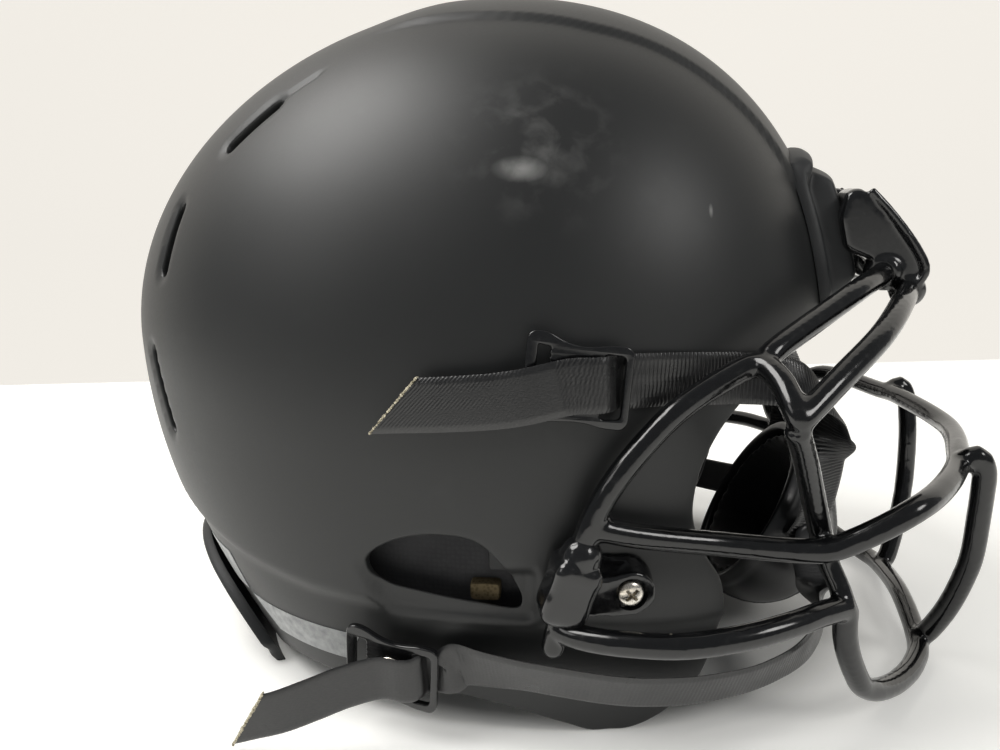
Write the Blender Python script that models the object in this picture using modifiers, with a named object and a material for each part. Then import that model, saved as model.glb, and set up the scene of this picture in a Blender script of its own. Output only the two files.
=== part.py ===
"""American football helmet, built from its separate pieces.

Frame: +X to the front of the helmet, +Y to the wearer's left, +Z up. The helmet stands on
z = 0 and is symmetric about y = 0. Lengths below are in millimetres, measured from a point
under the middle of the shell, and ORIGIN_SHIFT moves that point to the middle of the
helmet's box. Blender gets metres.
"""
import math

import bmesh
import bpy
from mathutils import Matrix, Vector

MM = 0.001
ORIGIN_SHIFT = Vector((-28.288, 0.0, 0.0))
GAP = 0.3                     # left between pieces that touch
SIDES = {"right": 1, "left": -1}  # paths are given for the right side, where y is negative

# Shell: plan sections are superellipses, the dome above the widest line closes to the crown
SHELL_CENTRE_X = 10.0
SHELL_FRONT = 133.4
SHELL_REAR = 146.6
SHELL_HALF_WIDTH = 112.3
SHELL_TOP = 242.0
SHELL_THICKNESS = 4.0
WIDEST_Z = (101.9, 88.2, 126.6)      # front, side, rear
DOME_POWER = (2.27, 2.10, 1.85)
LOWER_TUCK = (0.03, 0.05, 0.354)
TUCK_POWER = 2.2
PLAN_POWER = 2.05
JAW_FULLNESS = 0.45
JAW_TOP_Z = 110.0
SHELL_RINGS = 16
SHELL_SEGMENTS = 40
SHELL_LOWEST_ELEVATION = -52.0
EYE = Vector((SHELL_CENTRE_X, 0.0, 95.0))   # the shell is star-shaped about this point

# Lower rim, jaw edge and brow edge, seen from the side as (x, z)
RIM = [(-170, 9), (-95, 7), (-66, 6), (-45, 11), (-16, 12), (15, 13), (35, 9.5), (55, 3.0),
       (63, 0), (76, 0), (84, 3), (92, 8.5), (98, 15), (102, 24), (104.5, 34), (104.8, 42),
       (103.2, 51), (98.4, 60), (95, 69), (94, 77), (96, 88), (101, 98.5), (108, 107),
       (118, 116), (130, 123), (143, 128), (170, 131)]
EAR_HOLE = [(0, 51.5), (-5, 54.5), (-7, 59), (-4.5, 63.5), (3, 68), (12, 70.5), (19, 71),
            (26, 70.4), (31, 68.3), (34.5, 65), (38.5, 59.5), (42, 52.5), (43, 48.5), (41, 45.5),
            (19.5, 48.3)]
VENT_SLOTS = [((-68, -67, 189), (-47, -63, 205), 6.0), ((-93, -75, 146), (-87, -67, 172), 6.0),
              ((-101, -74, 121), (-91, -82, 90), 5.0)]

# Facemask wires: the right half of each path, ending on the middle plane where it crosses
WIRE_RADIUS = 3.8
WIRE_STEP = 12.0
BROW_BAR_UPPER = [(117.5, -84.3, 126.3), (133, -66.7, 134), (145, -51.5, 139.5),
                  (155, -32, 142), (160.4, -8.3, 142.5), (161, 0, 142.5)]
BROW_BAR_LOWER = [(121, -106, 109.5), (133, -93.6, 119), (146, -77.3, 128), (156, -55.4, 134),
                  (165, -25, 136), (167.5, 0, 136.5)]
SIDE_BAR = [(119.5, -104, 112.5), (116, -96.5, 119), (110, -90, 121.5), (97.2, -95.1, 115.4),
            (85.8, -102.2, 107.7), (73.9, -108.8, 94.5), (66, -112, 81.4), (60.1, -113.9, 64.1),
            (56.2, -114.6, 51.2), (53.6, -115, 39.5)]
MAIN_BAR = [(65.9, -112.1, 76.9), (79.3, -107.4, 73.2), (102.5, -98.5, 68.5), (125.4, -96, 67.1),
            (134.2, -95.3, 68.2), (147, -93.5, 74.6), (157.2, -89.3, 79.8), (166.3, -76.6, 80.6),
            (176, -57, 80.3), (182, -40, 81), (189.5, 0, 80.1)]
STRUT = [(120.3, -105.9, 107), (124, -98.5, 96.3), (128, -91.5, 82), (131.7, -87.7, 68),
         (134, -87.7, 60.5), (137, -90, 54), (139.5, -92.5, 47)]
LOWER_SIDE_BAR = [(55, -116.5, 45.6), (73.8, -120.8, 45.9), (90.5, -120.7, 46.8),
                  (107, -116.3, 48.4), (121, -108.5, 49.4), (138.5, -93.5, 48.9)]
CHIN_LOOP = [(139, -92.6, 48), (139.6, -91.2, 39), (141.3, -89.5, 31.3), (144.6, -86, 22.4),
             (148.1, -81.7, 15.5), (154.4, -74.6, 10.3), (163.6, -62.2, 6.3), (172.5, -47, 4.6),
             (177.3, -32, 5.4), (178.4, 0, 8.4)]
CHIN_VERTICAL = [(185.6, -50.6, 87), (187.7, -50, 80), (187.8, -48.5, 72), (188.3, -46.4, 62),
                 (188.2, -44.4, 46.4), (186.8, -40.9, 33.7), (184.2, -36.9, 21.1),
                 (180.4, -32, 9.1)]

# Clips that hold the mask, and their screws
SIDE_CLIP_SCREW = (73.5, 55.0)       # x, z on the shell
SIDE_CLIP_HEIGHT = 5.5
SLEEVE_RADIUS = 7.4
TOP_CLIP_Y = (10.0, 31.0)
TOP_CLIP_OUTLINE = [(140, 163), (142.5, 170.5), (147.5, 171.5), (161.3, 155.5), (170.6, 142.8),
                    (171.4, 136), (167.5, 130.8), (161, 131.5), (156, 136), (152, 146), (143, 150)]
TOP_SCREW_FACE = Vector((155.2, -20.5, 163.5))
TOP_SCREW_AXIS = Vector((0.764, 0.0, 0.645))
SCREW_HEAD_RADIUS = 4.0
SCREW_HEAD_HEIGHT = 2.2
SCREW_SHANK_RADIUS = 2.2
SCREW_HOLE_RADIUS = 2.5

# Bumpers
FRONT_BUMPER_HALF_WIDTH = 36.0
FRONT_BUMPER_Z = (131.5, 185.0)
FRONT_BUMPER_THICKNESS = (3.0, 11.0)
REAR_BUMPER_HALF_ANGLE = 50.0
REAR_BUMPER_THICKNESS = 4.5
REAR_BUMPER_TOP = 41.0
REAR_SCREW_ANGLE = 32.0
REAR_SCREW_Z = 12.0

# Chin strap hardware: a buckle snapped on each of four studs. (x, z) on the shell, tilt
STUD_RADIUS = 4.6
STUD_HEIGHT = 3.2
BUCKLE_THICKNESS = 2.2
BUCKLE_HALF_LENGTH = 15.5
BUCKLE_TILT = {"upper": -7.0, "lower": -6.0}
STUD_PLACE = {"upper": (59.0, 118.0), "lower": (1.5, 24.5)}
CAP_RADIUS = 6.4
WEBBING_WIDTH = 16.0
WEBBING_THICKNESS = 1.4
# Straps. Each buckle's own length of webbing: its tail, then down through the front slot
TAIL_PATHS = {"upper": [(8, -117.5, 113), (22, -118, 114), (36, -117.8, 115.2), (46, -116.8, 116.6)],
              "lower": [(-42, -129.5, 12), (-32, -127.5, 14.5), (-22, -124.5, 18), (-12, -121, 21.5)]}
SLOT_PASS = [(-3.0, 8.9), (4.0, 8.7), (7.6, 7.8), (9.8, 5.2), (11.2, 2.8), (14.0, 1.7), (18.0, 1.5)]
# The straps on to the chin cup: (x, z, distance off the shell), then points in space
SHELL_STRETCH = {"upper": [(79.5, 117.6, 1.5), (94, 116.6, 1.5), (106, 115, 1.5)],
                 "lower": [(22.6, 27.5, 2.0), (31, 28.3, 4.5), (44, 28, 7), (67, 24.5, 9.5)]}
FREE_STRETCH = {"upper": [(119, -74.5, 113.5), (129, -66.5, 110), (136.5, -59, 102),
                          (138.5, -54, 92), (135, -53, 82)],
                "lower": [(84, -107, 22), (97, -101, 20.6), (112, -93, 20.6), (124, -84, 22),
                          (132, -75, 24), (136.5, -66, 27), (137, -59, 31)]}
STRAP_LEAN = {"upper": [0, 4, 8, 20, 35, 50, 60, 60],
              "lower": [-8, -18, -26, -26, -26, -26, -26, -22, -12, -2, 6]}

# Chin cup, a hard dish hung in the straps, open to the rear and up
CUP_CENTRE = Vector((120.0, 0.0, 43.0))
CUP_RADII = Vector((31.0, 49.0, 36.0))
CUP_THICKNESS = 2.6
CHIN_AXIS = Vector((126.0, 0.0, 50.0))
CUP_OPEN_TILT = 32.0
CUP_PAD_THICKNESS = 5.0

# Liner pads: angle range round the shell (0 is the front), elevation range, thickness, and
# the room left between the pad and the shell's inside
PADS = {
    "crown_pad": ((0, 360), (64, 90), 16.0, 0.8),
    "front_pad": ((-38, 38), (27, 58), 15.0, 0.8),
    "rear_upper_pad": ((150, 210), (24, 58), 20.0, 0.8),
    "rear_lower_pad": ((152, 208), (-14, 18), 20.0, 0.8),
    "nape_pad": ((154, 206), (-44, -20), 14.0, 0.8),
    "side_upper_pad_right": ((218, 310), (12, 57), 14.0, 0.8),
    "side_upper_pad_left": ((50, 142), (12, 57), 14.0, 0.8),
    "jaw_pad_right": ((297, 318), (-36, -6), 12.0, 7.0),
    "jaw_pad_left": ((42, 63), (-36, -6), 12.0, 7.0),
}

COLOURS = {                      # base colour, roughness, metallic
    "shell_paint": ((0.028, 0.030, 0.032), 0.48, 0.0),
    "mask_coating": ((0.008, 0.008, 0.009), 0.12, 0.0),
    "gloss_plastic": ((0.010, 0.010, 0.011), 0.15, 0.0),
    "soft_plastic": ((0.030, 0.031, 0.033), 0.50, 0.0),
    "webbing": ((0.016, 0.017, 0.019), 0.42, 0.0),
    "nickel": ((0.62, 0.58, 0.52), 0.28, 1.0),
    "foam": ((0.030, 0.030, 0.032), 0.80, 0.0),
}


def shares(phi):
    """How much a direction in plan belongs to the front, the sides and the rear."""
    front = max(math.cos(phi), 0.0) ** 2
    rear = max(-math.cos(phi), 0.0) ** 2
    return front, 1.0 - front - rear, rear


def shell_radius(phi, z):
    """Distance from the shell's upright middle line to its outer surface, at one height."""
    weights = shares(phi)
    widest = sum(w * v for w, v in zip(weights, WIDEST_Z))
    power = sum(w * v for w, v in zip(weights, DOME_POWER))
    tuck = sum(w * v for w, v in zip(weights, LOWER_TUCK))
    low = min(max((JAW_TOP_Z - z) / JAW_TOP_Z, 0.0), 1.0)
    plan = PLAN_POWER + JAW_FULLNESS * low * math.sqrt(max(math.cos(phi), 0.0))
    half_length = SHELL_FRONT if math.cos(phi) >= 0 else SHELL_REAR
    section = ((abs(math.cos(phi)) / half_length) ** plan
               + (abs(math.sin(phi)) / SHELL_HALF_WIDTH) ** plan) ** (-1.0 / plan)
    if z > widest:
        rise = min((z - widest) / (SHELL_TOP - widest), 1.0)
        return section * (1.0 - rise ** power) ** (1.0 / power)
    drop = min((widest - z) / widest, 1.3)
    return section * (1.0 - tuck * drop ** TUCK_POWER)


def outside(point):
    """Positive outside the shell's outer surface, negative inside."""
    x = point[0] - SHELL_CENTRE_X
    return math.hypot(x, point[1]) - shell_radius(math.atan2(point[1], x), point[2])


def to_shell(start, direction, reach=400.0):
    """The point where a line that starts inside the shell crosses its outer surface."""
    near, far = 0.0, reach
    for _ in range(44):
        middle = 0.5 * (near + far)
        point = start + middle * direction
        if point.z < SHELL_TOP and outside(point) < 0:
            near = middle
        else:
            far = middle
    return start + near * direction


def shell_normal(point):
    """Outward unit normal of the shell near a point."""
    step = 0.6
    inner = point + 0.02 * (EYE - point)
    slope = []
    for axis in range(3):
        move = Vector([step if i == axis else 0.0 for i in range(3)])
        slope.append(outside(inner + move) - outside(inner - move))
    return Vector(slope).normalized()


def towards(phi_deg, elevation_deg):
    """Unit vector for an angle round the shell and an elevation."""
    phi, up = math.radians(phi_deg), math.radians(elevation_deg)
    return Vector((math.cos(up) * math.cos(phi), math.cos(up) * math.sin(phi), math.sin(up)))


def on_side(x, z, side=1):
    """Point of the shell's side surface at x and z; side 1 is the right."""
    return to_shell(Vector((x, 0.0, z)), Vector((0.0, -side, 0.0)))


def off_shell(x, z, distance, side):
    """A point at a distance outside the shell's side."""
    place = on_side(x, z, side)
    return place + distance * shell_normal(place)


def mirrored(path, side):
    return [Vector((p[0], p[1] * side, p[2])) for p in path]


def across(half):
    """A whole path from its right half, which ends on the middle plane."""
    right = mirrored(half, 1)
    return right + mirrored(half, -1)[-2::-1]


def smooth(path, step):
    """Points about one step apart on a Catmull-Rom curve through the path's points."""
    points = [2 * path[0] - path[1]] + list(path) + [2 * path[-1] - path[-2]]
    result = []
    for i in range(1, len(points) - 2):
        a, b, c, d = points[i - 1:i + 3]
        count = max(2, round((c - b).length / step))
        for k in range(count):
            t = k / count
            result.append(0.5 * ((2 * b) + (c - a) * t + (2 * a - 5 * b + 4 * c - d) * t * t
                                 + (3 * b - a - 3 * c + d) * t ** 3))
    return result + [path[-1].copy()]


def share_along(point, a, b):
    """How far along the segment from a to b the point lies, from 0 to 1."""
    line = b - a
    return min(max((point - a).dot(line) / line.length_squared, 0.0), 1.0)


def segment_distance(point, a, b):
    return (point - a - share_along(point, a, b) * (b - a)).length


def distance_to_path(point, path):
    return min(segment_distance(point, a, b) for a, b in zip(path, path[1:]))


def end_is_clear(path, others):
    """True when the flat end of a wire that starts at path[0] touches none of the others."""
    along = (path[1] - path[0]).normalized()
    flat = along.orthogonal().normalized()
    reach = WIRE_RADIUS + GAP
    for other in others:
        if distance_to_path(path[0], other) < reach:
            return False
        for k in range(12):
            rim = path[0] + WIRE_RADIUS * (Matrix.Rotation(k * math.pi / 6, 3, along) @ flat)
            if distance_to_path(rim, other) < reach:
                return False
    return True


def cut_back(path, others):
    """Shorten a wire's start until it stands just clear of the wires it is welded to."""
    path = list(path)
    step = 0.25
    while not end_is_clear(path, others):
        line = path[1] - path[0]
        if line.length < 2 * step:
            path.pop(0)
        else:
            path[0] = path[0] + step * line.normalized()
    return path


def cut_back_both(path, others):
    return cut_back(cut_back(path, others)[::-1], others)[::-1]


# Blender helpers

def clear_scene():
    for obj in list(bpy.data.objects):
        bpy.data.objects.remove(obj, do_unlink=True)
    for group in list(bpy.data.collections):
        bpy.data.collections.remove(group)


def make_collection(name):
    group = bpy.data.collections.new(name)
    bpy.context.scene.collection.children.link(group)
    return group


def make_material(name, colour, roughness, metallic):
    material = bpy.data.materials.new(name)
    material.use_nodes = True
    shader = material.node_tree.nodes["Principled BSDF"]
    shader.inputs["Base Color"].default_value = (*colour, 1.0)
    shader.inputs["Roughness"].default_value = roughness
    shader.inputs["Metallic"].default_value = metallic
    material.diffuse_color = (*colour, 1.0)
    return material


def make_empty(name, place):
    empty = bpy.data.objects.new(name, None)
    empty.empty_display_size = 0.02
    empty.location = place * MM
    PARTS.objects.link(empty)
    return empty


def add_object(name, mesh, finish, parent=None):
    obj = bpy.data.objects.new(name, mesh)
    if finish is None:
        CUTTERS.objects.link(obj)
        obj.hide_render = True
        obj.display_type = "WIRE"
    else:
        PARTS.objects.link(obj)
        colour, roughness, metallic = COLOURS[finish]
        mesh.materials.append(make_material(name + "_" + finish, colour, roughness, metallic))
    obj.parent = parent or HELMET
    if parent:
        obj.matrix_parent_inverse = Matrix.Translation(-parent.location)
    return obj


def shade(mesh, angle=35.0):
    mesh.shade_smooth()
    mesh.set_sharp_from_angle(angle=math.radians(angle))


def mesh_from_bmesh(name, work):
    bmesh.ops.recalc_face_normals(work, faces=work.faces)
    mesh = bpy.data.meshes.new(name)
    work.to_mesh(mesh)
    work.free()
    return mesh


def evaluated_mesh(obj, name):
    """The mesh of a curve or of an object with modifiers, with loose caps welded."""
    bpy.context.view_layer.update()
    source = obj.evaluated_get(bpy.context.evaluated_depsgraph_get())
    mesh = bpy.data.meshes.new_from_object(source)
    mesh.name = name
    work = bmesh.new()
    work.from_mesh(mesh)
    bmesh.ops.remove_doubles(work, verts=work.verts, dist=0.00002)
    bmesh.ops.recalc_face_normals(work, faces=work.faces)
    work.to_mesh(mesh)
    work.free()
    return mesh


def sheet_mesh(name, rows, closed=False):
    """An open sheet of quads from rows of points in millimetres."""
    work = bmesh.new()
    grid = [[work.verts.new(p * MM) for p in row] for row in rows]
    for low, high in zip(grid, grid[1:]):
        count = len(low)
        for i in range(count if closed else count - 1):
            j = (i + 1) % count
            work.faces.new((low[i], low[j], high[j], high[i]))
    mesh = bpy.data.meshes.new(name)
    work.to_mesh(mesh)
    work.free()
    return mesh


def solidify(obj, thickness, offset):
    modifier = obj.modifiers.new("Thickness", "SOLIDIFY")
    modifier.thickness = thickness * MM
    modifier.offset = offset
    modifier.use_even_offset = True
    return modifier


def bevel(obj, width, segments=1, angle=50.0):
    modifier = obj.modifiers.new("Edges", "BEVEL")
    modifier.width = width * MM
    modifier.segments = segments
    modifier.limit_method = "ANGLE"
    modifier.angle_limit = math.radians(angle)
    return modifier


def boolean(obj, cutter, operation="DIFFERENCE"):
    modifier = obj.modifiers.new(operation.title(), "BOOLEAN")
    modifier.operation = operation
    modifier.object = cutter
    modifier.solver = "EXACT"


def tube_mesh(name, path, radius, resolution=2):
    """A round wire along a path in millimetres, with closed ends."""
    curve = bpy.data.curves.new(name, "CURVE")
    curve.dimensions = "3D"
    curve.bevel_depth = radius * MM
    curve.bevel_resolution = resolution
    curve.use_fill_caps = True
    curve.render_resolution_u = 0
    spline = curve.splines.new("POLY")
    spline.points.add(len(path) - 1)
    for slot, point in zip(spline.points, path):
        slot.co = (*(point * MM), 1.0)
    guide = bpy.data.objects.new(name + "_curve", curve)
    CUTTERS.objects.link(guide)
    mesh = evaluated_mesh(guide, name)
    bpy.data.objects.remove(guide)
    shade(mesh)
    return mesh


def plate_mesh(name, outlines, half_depth, frame):
    """A flat plate from closed outlines (the first is the edge, others are holes)."""
    curve = bpy.data.curves.new(name, "CURVE")
    curve.dimensions = "2D"
    curve.fill_mode = "BOTH"
    curve.extrude = half_depth * MM
    curve.render_resolution_u = 0
    for outline in outlines:
        spline = curve.splines.new("POLY")
        spline.points.add(len(outline) - 1)
        spline.use_cyclic_u = True
        for slot, (u, v) in zip(spline.points, outline):
            slot.co = (u * MM, v * MM, 0.0, 1.0)
    guide = bpy.data.objects.new(name + "_outline", curve)
    CUTTERS.objects.link(guide)
    mesh = evaluated_mesh(guide, name)
    bpy.data.objects.remove(guide)
    mesh.transform(frame)
    return mesh


def circle(radius, count, centre=(0.0, 0.0)):
    return [(centre[0] + radius * math.cos(2 * math.pi * k / count),
             centre[1] + radius * math.sin(2 * math.pi * k / count)) for k in range(count)]


def rounded_box(u0, u1, v0, v1, radius, steps=3):
    """Outline of a rectangle with round corners."""
    outline = []
    corners = [(u1 - radius, v1 - radius, 0), (u0 + radius, v1 - radius, 90),
               (u0 + radius, v0 + radius, 180), (u1 - radius, v0 + radius, 270)]
    for u, v, start in corners:
        for k in range(steps + 1):
            turn = math.radians(start + 90 * k / steps)
            outline.append((u + radius * math.cos(turn), v + radius * math.sin(turn)))
    return outline


def frame_at(place, normal, upward=Vector((0, 0, 1)), spin=0.0):
    """Matrix whose Z is the normal, Y is as upright as it can be; place in millimetres."""
    z = normal.normalized()
    x = upward.cross(z).normalized()
    y = z.cross(x)
    basis = Matrix((x, y, z)).transposed().to_4x4()
    return Matrix.Translation(place * MM) @ basis @ Matrix.Rotation(math.radians(spin), 4, "Z")


def lathe_mesh(name, profile, frame, count=10):
    """A turned piece from (radius, height) points, top to bottom, about the frame's Z."""
    work = bmesh.new()
    points = [work.verts.new((r * MM, 0.0, h * MM)) for r, h in profile]
    edges = [work.edges.new(pair) for pair in zip(points, points[1:])]
    bmesh.ops.spin(work, geom=points + edges, cent=(0, 0, 0), axis=(0, 0, 1),
                   angle=2 * math.pi, steps=count)
    bmesh.ops.remove_doubles(work, verts=work.verts, dist=0.00001)
    mesh = mesh_from_bmesh(name, work)
    mesh.transform(frame)
    shade(mesh)
    return mesh


def rod_cutter(name, centre, axis, radius, half_length):
    frame = frame_at(centre, axis, Vector((0.3, 0.9, 0.2)))
    profile = [(0, half_length), (radius, half_length), (radius, -half_length), (0, -half_length)]
    return add_object(name, lathe_mesh(name, profile, frame), None)


# Pieces

def shell_cutters():
    """Everything that is cut out of the shell."""
    upright = Matrix.Rotation(math.radians(90), 4, "X")
    rim = smooth([Vector((x, z, 0)) for x, z in RIM[:8]], 14)[:-1]
    rim += [Vector((x, z, 0)) for x, z in RIM[7:10]][1:]
    rim += smooth([Vector((x, z, 0)) for x, z in RIM[9:]], 9)[1:]
    outline = [(p.x, p.y) for p in rim] + [(170, -150), (-170, -150)]
    cutters = [add_object("rim_cutter", plate_mesh("rim_cutter", [outline], 160, upright), None)]
    for side, sign in SIDES.items():
        move = Matrix.Translation(Vector((0, -sign * 110, 0)) * MM)
        mesh = plate_mesh("ear_cutter_" + side, [EAR_HOLE], 30, move @ upright)
        cutters.append(add_object("ear_cutter_" + side, mesh, None))
        for number, (start, end, width) in enumerate(VENT_SLOTS, 1):
            name = "vent_cutter_%d_%s" % (number, side)
            ends = mirrored([start, end], sign)
            middle = 0.5 * (ends[0] + ends[1])
            normal = shell_normal(middle)
            frame = frame_at(middle, normal, ends[1] - ends[0])
            half = 0.5 * (ends[1] - ends[0]).length
            slot = rounded_box(-width / 2, width / 2, -half, half, width / 2 - 0.1)
            cutters.append(add_object(name, plate_mesh(name, [slot], 14, frame), None))
        for place, axis in screw_lines(sign):
            name = "screw_hole_cutter_%s_%d" % (side, len(cutters))
            cutters.append(rod_cutter(name, place, axis, SCREW_HOLE_RADIUS, 45))
    return cutters


def side_screw_frame(sign):
    place = on_side(*SIDE_CLIP_SCREW, sign)
    return place, shell_normal(place)


def top_screw_frame(sign):
    return (Vector((TOP_SCREW_FACE.x, sign * TOP_SCREW_FACE.y, TOP_SCREW_FACE.z)),
            TOP_SCREW_AXIS.normalized())


def rear_screw_frame(sign):
    direction = towards(180 + sign * REAR_SCREW_ANGLE, 0)
    place = to_shell(Vector((SHELL_CENTRE_X, 0, REAR_SCREW_Z)), direction)
    return place, shell_normal(place)


def screw_lines(sign):
    return [side_screw_frame(sign), top_screw_frame(sign), rear_screw_frame(sign)]


def build_shell():
    rows = []
    for ring in range(1, SHELL_RINGS + 1):
        elevation = 90 + (SHELL_LOWEST_ELEVATION - 90) * ring / SHELL_RINGS
        rows.append([to_shell(EYE, towards(360 * k / SHELL_SEGMENTS, elevation))
                     for k in range(SHELL_SEGMENTS)])
    mesh = sheet_mesh("shell", rows, closed=True)
    work = bmesh.new()
    work.from_mesh(mesh)
    crown = work.verts.new(Vector((SHELL_CENTRE_X, 0, SHELL_TOP)) * MM)
    work.verts.ensure_lookup_table()
    for k in range(SHELL_SEGMENTS):
        work.faces.new((crown, work.verts[(k + 1) % SHELL_SEGMENTS], work.verts[k]))
    bmesh.ops.recalc_face_normals(work, faces=work.faces)
    if sum(f.normal.dot(f.calc_center_median() - EYE * MM) for f in work.faces) < 0:
        bmesh.ops.reverse_faces(work, faces=work.faces)
    work.to_mesh(mesh)
    work.free()
    shade(mesh)
    shell = add_object("shell", mesh, "shell_paint")
    solidify(shell, SHELL_THICKNESS, -1.0)
    for cutter in shell_cutters():
        boolean(shell, cutter)


def pad_rows(angles, elevations, inward, step=10.0):
    """Points of a patch that lies a distance inside the shell's outer surface."""
    across_count = max(2, round((angles[1] - angles[0]) / step))
    up_count = max(2, round((elevations[1] - elevations[0]) / step))
    rows = []
    for i in range(up_count + 1):
        elevation = elevations[0] + (elevations[1] - elevations[0]) * i / up_count
        row = []
        for k in range(across_count + 1):
            angle = angles[0] + (angles[1] - angles[0]) * k / across_count
            point = to_shell(EYE, towards(angle, elevation))
            row.append(point - inward * shell_normal(point))
        rows.append(row)
    return rows


def build_pads():
    for name, (angles, elevations, thickness, room) in PADS.items():
        inward = SHELL_THICKNESS + room
        if angles[1] - angles[0] == 360:
            build_crown_pad(name, elevations[0], inward, thickness)
            continue
        mesh = sheet_mesh(name, pad_rows(angles, elevations, inward))
        pad = add_object(name, mesh, "foam")
        solidify(pad, thickness, facing_inward(mesh))
        bevel(pad, 3.0, 1)


def facing_inward(mesh):
    """Solidify offset that thickens a sheet towards the inside of the shell."""
    total = sum(p.normal.dot(p.center - EYE * MM) for p in mesh.polygons)
    return -1.0 if total > 0 else 1.0


def build_crown_pad(name, lowest, inward, thickness):
    """A round pad under the crown."""
    work = bmesh.new()
    rings = 3
    count = 16
    crown = Vector((SHELL_CENTRE_X, 0, SHELL_TOP - inward))
    grid = []
    for ring in range(1, rings + 1):
        elevation = 90 - (90 - lowest) * ring / rings
        row = []
        for k in range(count):
            point = to_shell(EYE, towards(360 * k / count, elevation))
            row.append(work.verts.new((point - inward * shell_normal(point)) * MM))
        grid.append(row)
    top = work.verts.new(crown * MM)
    for k in range(count):
        j = (k + 1) % count
        work.faces.new((top, grid[0][k], grid[0][j]))
        for inner, outer in zip(grid, grid[1:]):
            work.faces.new((inner[k], outer[k], outer[j], inner[j]))
    mesh = mesh_from_bmesh(name, work)
    pad = add_object(name, mesh, "foam")
    solidify(pad, thickness, facing_inward(mesh))
    bevel(pad, 3.0, 1)


def build_front_bumper():
    """Nose bumper: a pad over the brow, thin at its flanges and thick where the clips stand."""
    rows, weights = [], []
    z_count, y_count = 8, 8
    for i in range(z_count + 1):
        up = i / z_count
        row = []
        for k in range(y_count + 1):
            part = 2 * k / y_count - 1
            narrow = 1.0 - 0.25 * up ** 2
            y = part * FRONT_BUMPER_HALF_WIDTH * narrow
            top = FRONT_BUMPER_Z[1] - 6.0 * part ** 2
            z = FRONT_BUMPER_Z[0] + up * (top - FRONT_BUMPER_Z[0])
            point = to_shell(Vector((60.0, y, z)), Vector((1, 0, 0)))
            row.append(point + GAP * shell_normal(point))
            bulge = (1 - part ** 4) * math.sin(math.pi * min(max(0.15 + 0.8 * up, 0), 1))
            weights.append(bulge)
        rows.append(row)
    mesh = sheet_mesh("front_bumper", rows)
    bumper = add_object("front_bumper", mesh, "soft_plastic")
    group = bumper.vertex_groups.new(name="thick")
    thin, thick = FRONT_BUMPER_THICKNESS
    for index, weight in enumerate(weights):
        group.add([index], (thin + (thick - thin) * weight) / thick, "REPLACE")
    modifier = solidify(bumper, thick, -facing_inward(mesh))
    modifier.vertex_group = "thick"
    for side, sign in SIDES.items():
        place, axis = top_screw_frame(sign)
        boolean(bumper, rod_cutter("bumper_hole_cutter_" + side, place, axis, SCREW_HOLE_RADIUS, 30))


def build_rear_bumper():
    """A strip round the rear rim that the helmet stands on."""
    rows = []
    columns = 16
    for level in (0.0, 8.0, 18.0, 30.0, REAR_BUMPER_TOP):
        row = []
        for k in range(columns + 1):
            part = 2 * k / columns - 1
            height = 1.0 - 0.8 * part ** 4
            angle = 180 + part * REAR_BUMPER_HALF_ANGLE
            start = Vector((SHELL_CENTRE_X, 0, level * height))
            point = to_shell(start, towards(angle, 0))
            flat = towards(angle, 0)
            row.append(point + (GAP + 0.1) * flat)
        rows.append(row)
    mesh = sheet_mesh("rear_bumper", rows)
    bumper = add_object("rear_bumper", mesh, "soft_plastic")
    solidify(bumper, REAR_BUMPER_THICKNESS, -facing_inward(mesh))
    flat = [(-200, 0), (0, 0), (0, -40), (-200, -40)]
    upright = Matrix.Rotation(math.radians(90), 4, "X")
    floor = add_object("floor_cutter", plate_mesh("floor_cutter", [flat], 130, upright), None)
    boolean(bumper, floor)
    for side, sign in SIDES.items():
        place, axis = rear_screw_frame(sign)
        hole = rod_cutter("rear_hole_cutter_" + side, place, axis, SCREW_HOLE_RADIUS, 30)
        boolean(bumper, hole)
        build_screw("rear_bumper_screw_" + side, place, axis, REAR_BUMPER_THICKNESS + 1.2, 10)


def build_screw(name, place, axis, height, length):
    """Pan-head screw; the underside of its head is at a height above the given place."""
    top = height + SCREW_HEAD_HEIGHT
    profile = [(0, top), (SCREW_HEAD_RADIUS * 0.6, top - 0.1), (SCREW_HEAD_RADIUS, top - 0.9),
               (SCREW_HEAD_RADIUS, height), (SCREW_SHANK_RADIUS, height),
               (SCREW_SHANK_RADIUS, height - length), (0, height - length)]
    frame = frame_at(place, axis, Vector((0.1, 0.0, 1.0)))
    screw = add_object(name, lathe_mesh(name, profile, frame), "nickel")
    slot = rounded_box(-2.4, 2.4, -0.45, 0.45, 0.3, 1)
    for turn in (20, 110):
        mesh = plate_mesh(name + "_recess_%d" % turn, [slot], 1.1,
                          frame @ Matrix.Translation((0, 0, top * MM)) @ Matrix.Rotation(
                              math.radians(turn), 4, "Z"))
        boolean(screw, add_object(mesh.name, mesh, None))


def build_t_nut(name, place, axis, depth):
    """Flanged nut inside the shell that the screw runs into."""
    profile = [(SCREW_SHANK_RADIUS + GAP, -depth), (4.0, -depth), (7.0, -depth),
               (7.0, -depth - 1.5), (4.0, -depth - 1.5), (4.0, -depth - 5.0),
               (SCREW_SHANK_RADIUS + GAP, -depth - 5.0), (SCREW_SHANK_RADIUS + GAP, -depth)]
    frame = frame_at(place, axis, Vector((0.1, 0.0, 1.0)))
    add_object(name, lathe_mesh(name, profile, frame), "nickel")


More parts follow.
